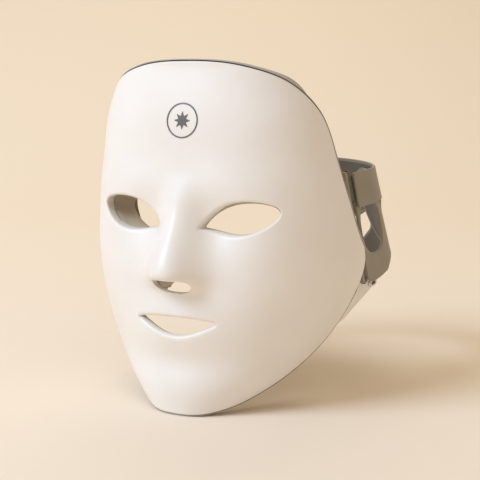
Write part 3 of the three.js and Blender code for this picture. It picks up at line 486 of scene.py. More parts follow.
def mixed(tree, factor, first, second):
    """Two colours, mixed by a factor. The mix node's colour sockets are known by number."""
    node = tree.nodes.new("ShaderNodeMix")
    node.data_type = "RGBA"
    fill(tree, node, {0: factor, 6: (*first, 1), 7: (*second, 1)})
    return node.outputs[2]


def linear(red, green, blue):
    """Screen colour, 0 to 255, as linear light."""
    def channel(value):
        c = value / 255
        return c / 12.92 if c <= 0.04045 else ((c + 0.055) / 1.055) ** 2.4
    return (channel(red), channel(green), channel(blue))


def moulded(name, colour, shade, roughness, grain, coat=0.0, sheen=0.0):
    """Moulded plastic or silicone: broad drift between two screen colours, fine grain, uneven gloss."""
    def build(tree):
        drift = spread(tree, noise(tree, 18, 3), 0, 1)
        return {
            "Base Color": mixed(tree, drift, linear(*colour), linear(*shade)),
            "Roughness": spread(tree, noise(tree, 60, 5), roughness - 0.04, roughness + 0.05),
            "Coat Weight": coat, "Coat Roughness": 0.25, "Sheen Weight": sheen,
        }, (noise(tree, 900, 3), 0.25, grain)
    return node_material(name, build)


def brushed(name, colour, roughness):
    """Metal with fine lines along its length."""
    def build(tree):
        lines = noise(tree, 400, 4, 0.6, (1, 1, 14))
        return {
            "Base Color": mixed(tree, spread(tree, lines, 0, 1), colour, tuple(0.8 * c for c in colour)),
            "Roughness": spread(tree, lines, roughness - 0.06, roughness + 0.1),
            "Metallic": 1.0,
        }, (lines, 0.2, 0.02)
    return node_material(name, build)


def circuit(name):
    """Solder mask with copper tracks under it."""
    def build(tree):
        place = tree.nodes.new("ShaderNodeTexCoord").outputs["Object"]
        cells = added(tree, "TexVoronoi", {"Scale": 160, "Vector": place})
        cells.distance = "MANHATTAN"
        tracks = added(tree, "Math", {0: cells.outputs["Distance"], 1: 0.55})
        tracks.operation = "GREATER_THAN"
        return {
            "Base Color": mixed(tree, tracks.outputs[0], linear(38, 86, 62), linear(58, 112, 80)),
            "Roughness": spread(tree, noise(tree, 80), 0.35, 0.5),
        }, (tracks.outputs[0], 0.4, 0.04)
    return node_material(name, build)


def frosted(name):
    """Clear plastic with a milky surface."""
    def build(tree):
        cloud = spread(tree, noise(tree, 40), 0, 1)
        return {
            "Base Color": mixed(tree, cloud, linear(226, 218, 206), linear(214, 204, 190)),
            "Roughness": spread(tree, noise(tree, 300), 0.2, 0.32),
            "Transmission Weight": 0.75, "IOR": 1.45,
        }, (noise(tree, 700), 0.2, 0.02)
    return node_material(name, build)


WHITE = moulded("shell_white", (243, 240, 236), (238, 233, 227), 0.42, 0.012, coat=0.12)
SEAM = moulded("seam_grey", (128, 117, 105), (116, 105, 93), 0.62, 0.02)
LIP_GREY = moulded("lip_grey", (176, 171, 165), (168, 162, 156), 0.5, 0.02)
PALE = moulded("pale_cover", (226, 219, 209), (218, 210, 199), 0.5, 0.02)
INNER = moulded("inner_skin", (176, 160, 140), (166, 149, 129), 0.55, 0.03)
SILICONE = moulded("silicone_taupe", (143, 136, 121), (132, 125, 109), 0.52, 0.02, sheen=0.15)
# Painted shade: a darker copy of the taupe silicone, standing in for the shade inside the band and in the
# recesses round the hinge pins.
PAINTED_SHADE_SILICONE = moulded("silicone_painted_shade", (102, 95, 83), (92, 85, 74), 0.6, 0.02, sheen=0.1)
GUARD = moulded("guard_taupe", (198, 186, 168), (188, 176, 157), 0.5, 0.02, sheen=0.15)
INK = moulded("print_ink", (112, 110, 112), (96, 94, 97), 0.4, 0.01)
BATTERY = moulded("battery_wrap", (108, 122, 140), (92, 106, 126), 0.35, 0.03)
BLACK = moulded("black_plastic", (34, 34, 36), (26, 26, 28), 0.45, 0.02)
CHIP = moulded("light_chip", (246, 224, 150), (236, 206, 120), 0.3, 0.01)
STEEL = brushed("steel", (0.62, 0.62, 0.63), 0.26)
BOARD = circuit("circuit_board")
LENS = frosted("clear_lens")

# ---- pieces


def add_object(name, data):
    made = bpy.data.objects.new(name, data)
    bpy.context.scene.collection.objects.link(made)
    return made


def face_outwards(mesh):
    """Turns every face's normal to the outside."""
    bm = bmesh.new()
    bm.from_mesh(mesh)
    bmesh.ops.recalc_face_normals(bm, faces=bm.faces)
    bm.to_mesh(mesh)
    bm.free()


def mesh_of(name, parts):
    """One mesh, in metres, of parts that are each (points in design mm, faces, ...)."""
    points, faces = [], []
    base = 0
    for part in parts:
        points.append(np.asarray(part[0], float))
        faces += [[base + int(i) for i in loop] for loop in part[1]]
        base += len(part[0])
    mesh = bpy.data.meshes.new(name)
    mesh.from_pydata(((np.concatenate(points) + SHIFT) * MM).tolist(), [], faces)
    return mesh


def make_piece(name, parts, materials, body, nodes):
    """One object from parts of (points in design mm, faces[, material number])."""
    mesh = mesh_of(name, parts)
    mesh.validate()
    for material in materials:
        mesh.materials.append(material)
    if len(materials) > 1:
        numbers = []
        for part in parts:
            number = part[2] if len(part) > 2 else 0
            numbers += [number] * len(part[1]) if np.isscalar(number) else list(number)
        mesh.polygons.foreach_set("material_index", np.array(numbers[: len(mesh.polygons)], np.int32))
    face_outwards(mesh)
    mesh.shade_smooth()
    mesh.set_sharp_from_angle(angle=math.radians(SHARP_ANGLE))
    piece = add_object(name, mesh)
    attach(piece, body)
    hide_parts(*nodes)
    return piece


# ---- outlines in the front view
HOLE_POINTS, NOSE_POINTS, RIM_POINTS = 120, 72, 420


def almond(top, bottom):
    """Two lines with shared ends as one loop, its corners slightly rounded as they are moulded."""
    loop = even(np.concatenate([top[:-1], bottom[:0:-1]]), HOLE_POINTS)
    for _ in range(2):
        loop = 0.25 * np.roll(loop, 1, 0) + 0.5 * loop + 0.25 * np.roll(loop, -1, 0)
    return loop


def eye_outline(amount, side):
    s = 0.5 - 0.5 * np.cos(np.linspace(0, np.pi, 200))
    chord = np.array(EYE_INNER) + s[:, None] * (np.array(EYE_OUTER) - np.array(EYE_INNER))
    upper = EYE_UPPER * np.maximum(np.sin(np.pi * s**0.85), 0) ** (0.8 - 0.25 * s)
    lower = -EYE_LOWER * np.maximum(np.sin(np.pi * s**1.45), 0) ** (0.75 - 0.25 * s)
    top = chord + upper[:, None] * np.array([0, 1])
    bottom = chord + lower[:, None] * np.array([0, 1])
    return grow(almond(top, bottom), amount) * np.array([side, 1])


def cup_ring(side, share, amount, depth):
    """A ring of the eye cup: share 0 follows the shell at a depth, share 1 lies in the cup's back plane."""
    front = eye_outline(amount, 1)
    middle = 0.5 * (np.array(EYE_INNER) + np.array(EYE_OUTER))
    back = (front - middle) * CUP_SCALE + middle + CUP_SHIFT
    start = over_view(front, depth)
    end = np.stack([back[:, 0], CUP_BACK + CUP_SLOPE * back[:, 0], back[:, 1]], -1)
    end[:, 1] += depth - CUP_DEPTH
    return (start + share * (end - start)) * np.array([side, 1, 1])


def mouth_outline(amount):
    u = np.linspace(-1, 1, 200)
    top = np.stack([u * MOUTH_HALF, MOUTH_Z + MOUTH_UPPER * (1 - np.abs(u) ** 3)], -1)
    drop = np.maximum(np.cos(np.pi / 2 * u), 0) ** 1.1
    bottom = np.stack([u * MOUTH_HALF, MOUTH_Z - MOUTH_LOWER * drop], -1)
    return grow(almond(top, bottom), amount)


def nose_outline(amount):
    cos, sin = circle(240)
    x = NOSE_HALF * signed_power(cos, 0.8)
    up = NOSE_MIDDLE + (NOSE_TOP - NOSE_MIDDLE) * np.abs(sin) ** 0.6
    down = NOSE_MIDDLE + (NOSE_MIDDLE - NOSE_BOTTOM) * sin
    return grow(even(np.stack([x, np.where(sin > 0, up, down)], -1), NOSE_POINTS), amount)


def on_loop(loop):
    """A front-view loop as a loop of the flattened sheet."""
    return np.stack([on_sheet(loop[:, 0], loop[:, 1]), loop[:, 1]], -1)


HALF_RIM = RIM + [(-a, z) for a, z in RIM[-2:0:-1]]
rim_turns = catmull(HALF_RIM, 1200)
RIM_SHEET = np.stack(
    [SPREAD * signed_power(rim_turns[:, 0] / 90, SPREAD_POWER), rim_turns[:, 1]], -1
)


def rim_loop(share):
    """The rim line of the flattened sheet, scaled about the hub."""
    loop = (RIM_SHEET - [0, HUB_Z]) * share + [0, HUB_Z]
    return even(loop, RIM_POINTS)


rim_angle = np.arctan2(RIM_SHEET[:, 1] - HUB_Z, RIM_SHEET[:, 0])
rim_order = np.argsort(rim_angle)
RIM_ANGLES = rim_angle[rim_order]
RIM_RADII = np.hypot(RIM_SHEET[:, 0], RIM_SHEET[:, 1] - HUB_Z)[rim_order]


def rim_share(u, z):
    """How far a sheet point lies from the hub, as a part of the way to the rim."""
    radius = np.interp(np.arctan2(z - HUB_Z, u), RIM_ANGLES, RIM_RADII, period=2 * np.pi)
    return np.hypot(u, z - HUB_Z) / radius


# ---- shells


def wall_profile(thickness, lip, reach, wall):
    """A hole's edge: a rounded lip, a wall that turns in to a depth, and the back of that wall."""
    return [
        (lip + 2.2, 0), (lip + 0.8, 0), *quarter(lip, 6), (0, 0.5 * (lip + reach)), (0, reach - 0.2),
        (0.2, reach), (wall - 0.2, reach), (wall, reach - 0.2), (wall, thickness + 0.3),
        (wall + 0.3, thickness), (lip + 2.2, thickness),
    ]


def build_front_shell():
    holes = [(on_loop(eye_outline(0, side)), wall_profile(SKIN, 2.0, 7.0, 1.3)) for side in (1, -1)]
    holes.append((on_loop(mouth_outline(0)), wall_profile(SKIN, 2.8, 5.8, 1.5)))
    holes.append((on_loop(nose_outline(0)), wall_profile(SKIN, 1.2, 4.4, 1.3)))
    outer = (rim_loop(1), edge_profile(SKIN, 0.8, 0.3))
    body = sheet_solid(face, outer, holes, 2.6)
    bosses = [pipe(BOSS_RADIUS, BOSS_HOLE, *BOSS_ENDS, layer_matrix(x, z, SKIN)) for x, z in SCREWS]
    make_piece("front_shell_skin", [body, *bosses], [WHITE], MASK, ["front_shell"])


def layer_matrix(x, z, depth):
    """A frame on a layer with its Z pointing into the mask."""
    points = np.array([[x - 0.5, z], [x + 0.5, z], [x, z - 0.5], [x, z + 0.5], [x, z]])
    left, right, below, above, here = over_view(points, depth)
    inward = np.cross(right - left, above - below)
    return pointing(here, Vector(inward if inward[1] > 0 else -inward).normalized())


SCREWS = [(58, 154), (-58, 154), (50, 54), (-50, 54)]
BOSS_RADIUS, BOSS_HOLE, BOSS_ENDS = 2.8, 1.25, (-0.4, 3.5)


def build_gasket():
    loops = [(0.958, GASKET[0]), (0.998, GASKET[0]), (1.001, GASKET[0] + 0.1), (1.002, 0.5 * sum(GASKET)),
             (1.001, GASKET[1] - 0.1), (0.998, GASKET[1]), (0.958, GASKET[1])]
    rings = [face(*rim_loop(share).T, depth) for share, depth in loops]
    make_piece("seam_gasket_ring", [ring_solid(rings)], [SEAM], MASK, ["seam_gasket"])


WINDOWS = {
    "forehead": ((-46, 160, 46, 204), 9, 9, 4),
    "left_cheek": ((27, 71, 61, 107), 8, 4, 4),
    "right_cheek": ((-61, 71, -27, 107), 8, 4, 4),
    "chin": ((-27, 17, 27, 41), 8, 6, 2),
}


def window_outline(name, amount):
    box, radius, _, _ = WINDOWS[name]
    return grow(even(rounded(box_corners(*box), radius * 1.5, 12), HOLE_POINTS), amount)


def rear_place(u, z, depth):
    """The inner skin. Depth 0 stands for its front face, which steps forward to a thick wall near the
    rim; any other depth is taken as it is."""
    if depth == 0:
        step = smoothstep(0.952, 0.964, rim_share(u, z))
        depth = REAR_FRONT + (REAR_WALL - REAR_FRONT) * step
    return face(u, z, depth)


def build_rear_shell():
    thickness = REAR_BACK - REAR_FRONT
    small = [(into, REAR_FRONT + depth) for into, depth in edge_profile(thickness, 0.3, 0.6)]
    small[0] = (small[0][0], 0)
    holes = [(on_loop(eye_outline(3.4, side)), small) for side in (1, -1)]
    holes.append((on_loop(mouth_outline(0.8)), small))
    holes.append((on_loop(nose_outline(3)), small))
    holes += [(on_loop(window_outline(name, 0)), small) for name in WINDOWS]
    lip = [
        (6.5, 0), (4.5, REAR_WALL), (1.1, REAR_WALL), (0.85, 3.1), (0.8, 2.4), (0.8, 1.0), (0.7, 0.65),
        (0.55, 0.5), (0.35, 0.5), (0.15, 0.6), (0.03, 0.9), (0, 1.5), (0, 6.6), (0.25, 7.4), (0.8, 8.0),
        (1.5, REAR_BACK), (3.0, REAR_BACK), (6.5, REAR_BACK),
    ]
    body = sheet_solid(rear_place, (rim_loop(LIP), lip), holes, 3.0)
    zones = [number % 2 for number in body[2]]
    parts = [(body[0], body[1], zones)]
    piece = make_piece("rear_shell_skin", parts, [INNER, LIP_GREY], MASK, ["rear_shell"])
    for side in (1, -1):
        for low, high in ANCHOR_NOTCHES:
            cut_away(piece, [block(low, high, 0.3, lean_move(side))])


PANE_FRONT, PANE_WALL, PANE_GAP = REAR_FRONT + 0.35, 1.7, 0.35
BOARD_FRONT, BOARD_WALL, BOARD_GAP = 3.4, 0.8, 1.4
CHIP_HALF, CHIP_TOP = 1.5, 0.55
CHIP_DOME = [(0.95, 0.5), (0.9, 0.66), (0.55, 0.78), (0.1, 0.82)]


def layer_plate(loop, start, profile, spacing):
    """A plate over a front-view outline, its front face at a depth under the outer surface."""
    return sheet_solid(lambda u, z, depth: face(u, z, start + depth), (on_loop(loop), profile), [], spacing)


def build_windows():
    for name, ((x0, z0, x1, z1), _, columns, rows) in WINDOWS.items():
        edge = edge_profile(PANE_WALL, 0.4, 0.5)
        pane = layer_plate(window_outline(name, -PANE_GAP), PANE_FRONT, edge, 3.0)
        make_piece(name + "_window", [pane], [LENS], MASK, [name + "_lens"])

        edge = edge_profile(BOARD_WALL, 0.1, 0.1, 1.2, 2)
        plate = layer_plate(window_outline(name, -BOARD_GAP), BOARD_FRONT, edge, 4.0)
        parts = [plate[:2]]
        for row in range(rows):
            for column in range(columns):
                x = x0 + (column + 0.5) / columns * (x1 - x0)
                z = z0 + (row + 0.5) / rows * (z1 - z0)
                matrix = layer_matrix(x, z, BOARD_FRONT + BOARD_WALL)
                low, high = (-CHIP_HALF, -CHIP_HALF, -0.1), (CHIP_HALF, CHIP_HALF, CHIP_TOP)
                parts.append((*block(low, high, 0.15, lambda p: placed(p, matrix), 1), 1))
                parts.append((*turned(CHIP_DOME, matrix, 16), 2))
        looks = [BOARD, WHITE, CHIP]
        make_piece(name + "_light_board", parts, looks, MASK, [name + "_led_board"])


CUP_PROFILE = [  # (share of the way to the back plane, growth, depth)
    (0, 0.35, 7.5), (0, 1.85, 7.4), (0, 1.9, 3.2), (0, 2.1, 2.95), (0, 2.7, 2.95), (0, 2.9, 3.2),
    (0, 2.9, 8.7), (0, 3.2, 8.95), (0, 6.0, 8.95), (0, 6.4, 9.15), (0, 6.5, 9.5), (0, 6.3, 10.0),
    (0, 5.9, 10.3), (0, 4.2, 10.4), (0.06, 3.1, 10.2), (0.2, 2.8, 9.0), (0.4, 2.5, 9.0),
    (0.6, 2.3, 9.0), (0.8, 2.1, 9.0), (0.94, 1.9, 9.0), (0.99, 1.4, 9.0), (1, 0.9, 9.0), (0.98, 0.4, 9.0),
    (0.9, 0.1, 9.0), (0.75, 0, 9.0), (0.5, 0, 9.0), (0.25, 0, 9.0), (0.05, 0, 8.6), (0, 0.05, 7.9),
]
RESTS = [  # soft pads on the inner skin: (name, CAD node, front-view box)
    ("forehead_rest", "forehead_bumper", (-30, 210, 30, 220)),
    ("bridge_rest", "nose_bridge_bumper", (-8, 137, 8, 155)),
]
REST_FRONT, REST_WALL = 9.25, 3.1


def build_soft_pieces():
    for side, name in SIDES:
        cup = ring_solid([cup_ring(side, share, amount, depth) for share, amount, depth in CUP_PROFILE])
        make_piece(name + "_eye_cushion", [cup], [GUARD], MASK, [name + "_eye_guard"])
    for name, node, box in RESTS:
        loop = even(rounded(box_corners(*box), 7, 10), 90)
        pad = layer_plate(loop, REST_FRONT, edge_profile(REST_WALL, 0.3, 1.5, 0.8), 1.6)
        make_piece(name, [pad], [GUARD], MASK, [node])


def screw_parts(matrix, top, end):
    """A pan-head screw with a hexagon recess, from its tip's height along Z to its head's."""
    head = SCREW_HEAD
    outside = [
        (0.6, end), (1.0, end + 0.5), (1.0, top - 1.25), (head - 0.15, top - 1.25), (head, top - 1.1),
        (head, top - 0.65), (head - 0.25, top - 0.2), (head - 0.7, top), (1.25, top),
    ]
    recess = [(1.1, top - 0.1), (1.0, top - 0.85), (0.2, top - 0.95)]
    flat = np.stack(circle(36), -1)
    turn = np.arctan2(flat[:, 1], flat[:, 0])
    flats = math.cos(math.pi / 6) / np.cos((turn + math.pi / 6) % (math.pi / 3) - math.pi / 6)
    rows = [(radius * flat, height) for radius, height in outside]
    rows += [(radius * flats[:, None] * flat, height) for radius, height in recess]
    return lifted(rows, matrix)


REAR_SCREW_TOP = 8.9


def build_rear_screws():
    for i, (x, z) in enumerate(SCREWS):
        parts = [screw_parts(layer_matrix(x, z, SKIN), REAR_SCREW_TOP, REAR_SCREW_TOP - 6.5)]
        make_piece(f"rear_screw_{i + 1}_turned", parts, [STEEL], MASK, [f"rear_screw_{i + 1}"])


EMBLEM_UNDER, EMBLEM_EDGE, EMBLEM_TOP = -0.05, -0.25, -0.34
SUN_RAYS, SUN_TIP, SUN_NOTCH = 8, 6.0, 2.9


def build_emblem():
    cos, sin = circle(160)
    profile = [
        (0, EMBLEM_UNDER), (0, EMBLEM_EDGE), (-0.12, EMBLEM_TOP), (-EMBLEM_LINE + 0.12, EMBLEM_TOP),
        (-EMBLEM_LINE, EMBLEM_EDGE), (-EMBLEM_LINE, EMBLEM_UNDER),
    ]
    rings = []
    for change, depth in profile:
        r = EMBLEM_RADIUS + change
        rings.append(over_view(np.stack([r * cos, EMBLEM_Z + r * sin], -1), depth))
    make_piece("emblem_circle", [ring_solid(rings)], [INK], MASK, ["emblem_ring"])
    star = []
    for i in range(2 * SUN_RAYS):
        turn = i / SUN_RAYS * math.pi
        r = SUN_NOTCH if i % 2 else SUN_TIP
        star.append((r * math.cos(turn), EMBLEM_Z + r * math.sin(turn)))
    edge = [(0.25, 0), (0.1, 0.0), (0, 0.08), (0, 0.25), (0.25, 0.29)]
    sun = layer_plate(even(rounded(star, 0.5, 4), 160), EMBLEM_TOP, edge, 0.6)
    make_piece("emblem_star", [sun], [INK], MASK, ["emblem_sun"])


# ---- side housings
SLOT_POINTS = 48
HOUSING_DEPTH = 8.4
HOUSING_FACE = 84.2
HOUSING_BACK = [(49, 88), (52, 95), (57, 106), (64, 126), (70, 142), (76, 144), (84, 141), (88, 134)]
PORT = (129.0, 70.0)
BUTTON = (112.0, 75.5)
LIGHT = (98.0, 67.5)
HOUSING_ENDS, COVER_ENDS, LUG_ENDS = (49, 88), (57.5, 86.8), (70.5, 86)
HOLE_ENDS = (80, 90)  # heights that a hole's cutter spans through the housing's side
PORT_HOLE, BUTTON_HOLE, LIGHT_HOLE = (9.8, 4.0), 4.1, 1.3
SCREW_TOP = -73.9  # of the screws that hold the housing and the anchor, towards the centre line


def lip_line(z):
    """The back edge of the rear shell's lip at a height between cheek and temple."""
    loop = rim_loop(LIP)
    points = face(loop[:, 0], loop[:, 1], REAR_BACK)
    keep = (points[:, 0] > 60) & (points[:, 2] > 20)
    order = np.argsort(points[keep][:, 2])
    return np.interp(z, points[keep][order][:, 2], points[keep][order][:, 1])


def housing_face(z):
    return np.minimum(HOUSING_FACE, table(HALF_WIDTH, z) - 4)


def rounded_section(x0, x1, y0, y1, z, radius, count=12):
    """A rectangle at a height, with rounded corners."""
    r = min(radius, 0.45 * abs(x1 - x0), 0.45 * (y1 - y0))
    points = []
    corners = [(x1 - r, y0 + r), (x1 - r, y1 - r), (x0 + r, y1 - r), (x0 + r, y0 + r)]
    for (cx, cy), start in zip(corners, (-90, 0, 90, 180)):
        for turn in np.linspace(0, 90, count):
            a = math.radians(start + turn)
            points.append((cx + r * math.cos(a), cy + r * math.sin(a), z))
    return np.array(points)


def housing_rings(out, deep, front, back, low, high, radius):
    """Sections up a housing, drawn in at the two ends so that they are rounded."""
    rings = []
    levels = [low + d for d in (0, 0.15, 0.5, 1.1, 2)] + list(np.linspace(low + 4, high - 4, 18))
    levels += [high - d for d in (2, 1.1, 0.5, 0.15, 0)]
    smooth = catmull(HOUSING_BACK, 200, closed=False)
    for z in levels:
        gap = min(z - low, high - z, 2)
        pull = 0.75 * (2 - math.sqrt(max(4 - (2 - gap) ** 2, 0)))
        x1 = housing_face(z) - out - pull
        x0 = housing_face(z) - HOUSING_DEPTH + deep + pull
        y0 = lip_line(z) + 0.5 + front + pull
        y1 = np.interp(z, smooth[:, 0], smooth[:, 1]) - back - pull
        rings.append(rounded_section(x0, x1, y0, y1, z, radius))
    return rings


def mirror(part, side):
    return (part[0] * np.array([side, 1, 1]), *part[1:])


def side_matrix(side, y, z):
    """A frame on a housing's side with its Z pointing outwards."""
    turn = Matrix.Rotation(side * math.pi / 2, 4, "Y")
    return Matrix.Translation(Vector((0, y, z))) @ turn


def cut_away(target, cutter_parts):
    """Subtracts closed shapes from a piece and keeps the result in its mesh."""
    mesh = mesh_of("cutter", cutter_parts)
    face_outwards(mesh)
    cutter = add_object("cutter", mesh)
    modifier = target.modifiers.new("cut", "BOOLEAN")
    modifier.object = cutter
    modifier.operation = "DIFFERENCE"
    modifier.solver = "EXACT"
    graph = bpy.context.evaluated_depsgraph_get()
    made = bpy.data.meshes.new_from_object(target.evaluated_get(graph))
    target.modifiers.remove(modifier)
    old = target.data
    target.data = made
    bpy.data.meshes.remove(old)
    bpy.data.objects.remove(cutter)
    bpy.data.meshes.remove(mesh)


def slot_loop(width, height):
    points = []
    for k in range(SLOT_POINTS):
        a = 2 * math.pi * k / SLOT_POINTS
        end = math.copysign((width - height) / 2, math.cos(a))
        points.append((height / 2 * math.cos(a) + end, height / 2 * math.sin(a)))
    return np.array(points)


def slot_stack(rows, centre):
    """Slot-shaped sections along X: rows of (x, width, height)."""
    rings = []
    for x, width, height in rows:
        loop = slot_loop(width, height)
        rings.append(np.column_stack([np.full(len(loop), float(x)), loop + centre]))
    return stack_solid(rings)


def build_housing(side, name):
    body = mirror(stack_solid(housing_rings(0, 0, 0, 0, *HOUSING_ENDS, 2.2)), side)
    lug_points = []
    for z in np.linspace(*LUG_ENDS, 10):
        x0 = housing_face(z) - HOUSING_DEPTH + 0.2
        x1 = table(HALF_WIDTH, z) - REAR_BACK - 0.8
        lug_points.append(rounded_section(x0, x1, lip_line(z) - 7, lip_line(z) + 2, z, 1.2, 6))
    lug = mirror(stack_solid(lug_points), side)
    piece = make_piece(name + "_wing", [body, lug], [WHITE], MASK, [name + "_side_housing"])
    if side > 0:
        cut_away(piece, [slot_stack([(x, *PORT_HOLE) for x in HOLE_ENDS[::-1]], PORT)])
    else:
        button = turned([(BUTTON_HOLE, x) for x in HOLE_ENDS], side_matrix(side, *BUTTON), 48)
        light = turned([(LIGHT_HOLE, x) for x in HOLE_ENDS], side_matrix(side, *LIGHT), 24)
        cut_away(piece, [button, light])
    piece.data.set_sharp_from_angle(angle=math.radians(WING_SHARP_ANGLE))

    cover = mirror(stack_solid(housing_rings(HOUSING_DEPTH + 0.3, -1.6, 0.6, 1.0, *COVER_ENDS, 1.6)), side)
    make_piece(name + "_wing_cover", [cover], [PALE], MASK, [name + "_housing_cover"])
    screw = screw_parts(side_matrix(-side, lip_line(80) - 2.6, 80), SCREW_TOP, -85.5)
    make_piece(name + "_wing_screw", [screw], [STEEL], MASK, [name + "_housing_screw"])


def build_wing_details():
    """Charging cover on the left wing, power button and light on the right one."""
    cover = slot_stack([
        (84.5, 12.8, 5.0), (84.6, 13.2, 5.4), (85.3, 13.2, 5.4), (85.6, 12.8, 5.0), (85.68, 12.2, 4.4),
        (85.6, 9.4, 2.9), (85.3, 9.0, 2.5), (84.9, 9.0, 2.5),
    ], PORT)
    recess = slot_stack([(84.88, 8.96, 2.46), (85.0, 8.96, 2.46)], PORT)
    tether = block((84.5, PORT[0] - 8.3, PORT[1] - 1.5), (85.0, PORT[0] - 5.8, PORT[1] + 1.5), 0.2)
    parts = [cover, (*recess, 1), tether]
    make_piece("charging_cover", parts, [WHITE, BLACK], "usb_flap", ["usb_cover"])
    cap = turned([
        (4.6, 81.65), (4.6, 82.3), (3.75, 82.35), (3.75, 84.4), (3.55, 84.75), (3.1, 84.88), (2.6, 84.8),
        (1.2, 84.55), (0.1, 84.5),
    ], side_matrix(-1, *BUTTON), 48)
    make_piece("power_button_cap", [cap], [WHITE], "power_button_cap", ["power_button"])
    light = turned([(1.0, 79.2), (1.0, 84.0), (0.8, 84.22), (0.3, 84.28)], side_matrix(-1, *LIGHT), 24)
    make_piece("light_pipe", [light], [LENS], MASK, ["status_light"])


# ---- headband
BAND_EDGE, BAND_SPACING = 0.85, 2.6
BAND_FRONT, STRAP_FRONT, STRAP_TOP = 65.4, 64.6, 156


def band_lean(along):
    turn = np.degrees(along / ARC_RADIUS)
    return LEAN - LEAN_FADE * smoothstep(30, 88, np.minimum(turn, 180 - turn))


def band_point(along, z, radius, side):
    along, z = np.broadcast_arrays(np.asarray(along, float), np.asarray(z, float))
    turn = np.maximum(along, 0) / ARC_RADIUS
    out = radius + FLARE * (FLARE_Z - z) * smoothstep(0, 25, np.degrees(turn))
    x = out * np.cos(turn)
    level = BEND_Y + np.where(along > 0, out * np.sin(turn), along)
    return np.stack([side * x, level + (HINGE[2] - z) * band_lean(along), z], -1)


def arc(degrees):
    return math.radians(degrees) * ARC_RADIUS


def straight(level):
    return level - BEND_Y


def band_sheet(side, outline, holes, radii):
    """A layer of the headband between two radii, with well rounded edges."""
    inner, outer = radii
    place = lambda u, z, depth: band_point(u, z, outer - depth, side)
    profile = edge_profile(outer - inner, BAND_EDGE, BAND_EDGE, 1.4)
    return sheet_solid(place, (outline, profile), [(hole, profile) for hole in holes], BAND_SPACING)


def ear_loop():
    cos, sin = circle(400)
    u = straight(EAR_LEVEL) + EAR_HALF_WIDE * signed_power(cos, EAR_SQUARE)
    z = EAR_Z + EAR_HALF_TALL * signed_power(sin, EAR_SQUARE)
    return even(np.stack([u, z], -1), 110)


def hinge_matrix(side):
    turn = Matrix.Rotation(math.atan(LEAN), 4, "X")
    return Matrix.Translation(Vector((side * HINGE[0], HINGE[1], HINGE[2]))) @ turn


def along_hinge(z):
    return (z - HINGE[2]) / math.cos(math.atan(LEAN))


KNUCKLE, KNUCKLE_HOLE, KNUCKLE_SQUARE, PIN = 2.6, 1.3, 0.62, 1.0
UPPER_ENDS = (along_hinge(131.4), along_hinge(156.6))
LOWER_ENDS = (along_hinge(76), along_hinge(92))


def knuckle_spans(ends, end):
    low, high = ends
    return {"anchor": [(low, low + end), (high - end, high)], "band": [(low + end + 0.4, high - end - 0.4)]}


UPPER = knuckle_spans(UPPER_ENDS, 5)
LOWER = knuckle_spans(LOWER_ENDS, 3.6)


def hinge_block(side, x0, x1, y0, y1, low, high, radius):
    a, b = (x0, x1) if side > 0 else (-x1, -x0)
    return block((a, y0, low), (b, y1, high), radius, lambda p: placed(p, hinge_matrix(side)))


def knuckles(side, spans, section, radius, number):
    """Sleeves round the pin, each with the block, of section (x0, x1, y0, y1), that joins it to its piece."""
    parts = []
    for bottom, top in spans:
        sleeve = pipe(KNUCKLE, KNUCKLE_HOLE, bottom, top, hinge_matrix(side), square=KNUCKLE_SQUARE)
        bridge = hinge_block(side, *section, bottom + 0.05, top - 0.05, radius)
        parts += [(*sleeve, number), (*bridge, number)]
    return parts


def dense(points, radius, spacing=2.0):
    loop = rounded(points, radius, 10)
    run = np.linalg.norm(np.roll(loop, -1, 0) - loop, axis=1).sum()
    return even(loop, int(run / spacing))


def along_rows(rows):
    return [(arc(degrees), z) for degrees, z in rows]


BANDS = [
    {
        "side": 1, "name": "left", "body": LEFT, "rivet": (40, 143.5),
        "ear_low": [
            (0, 74.2), (9, 76.4), (13.5, 81), (18, 84.5), (27, 88), (36, 91), (41, 95), (45, 104), (52, 130),
        ],
        "ear_high": [(0, 151), (43, 151), (48, 148), (52, 134)],
        "back_low": [(0, 131), (26, 131), (32, 122), (38, 95), (42, 76), (46, 70)],
        "slot_low": [(47.6, 107), (49, 101), (53, 96), (57, 90.5), (61, 87), (68, 84.5), (78, 84)],
        "slot_high": [(47.6, 111), (49, 116), (53, 112.5), (57, 109.5), (61, 108.5), (68, 110), (78, 114)],
    },
    {
        "side": -1, "name": "right", "body": RIGHT, "rivet": (22, 143.5),
        "ear_low": [(0, 74.2), (9, 76.4), (13.5, 81), (18, 84.5), (24, 87), (29, 93)],
        "ear_high": [(0, 151), (24, 151), (29, 142)],
        "back_low": [(0, 131), (20, 131), (22, 122), (24, 100), (27, 76), (30, 70)],
        "slot_low": [(30, 94), (33, 88), (38, 85), (50, 84), (70, 84)],
        "slot_high": [(30, 105), (33, 111), (38, 114), (50, 115), (70, 115)],
    },
]
BACK_SEAM = 90 - math.degrees(0.15 / ARC_RADIUS)
CLASP_START = 84.6
CLASPS = [("upper", 126, 148), ("lower", 72, 82)]
STUD_PROFILE = [  # (radius, height from the middle of the two layers)
    (0.2, -3.35), (1.6, -3.3), (2.5, -3.05), (2.95, -2.7), (2.95, -2.5), (1.5, -2.5), (1.5, 2.5),
    (2.95, 2.5), (2.95, 2.75), (2.5, 3.05), (1.6, 3.2), (0.2, 3.25),
]


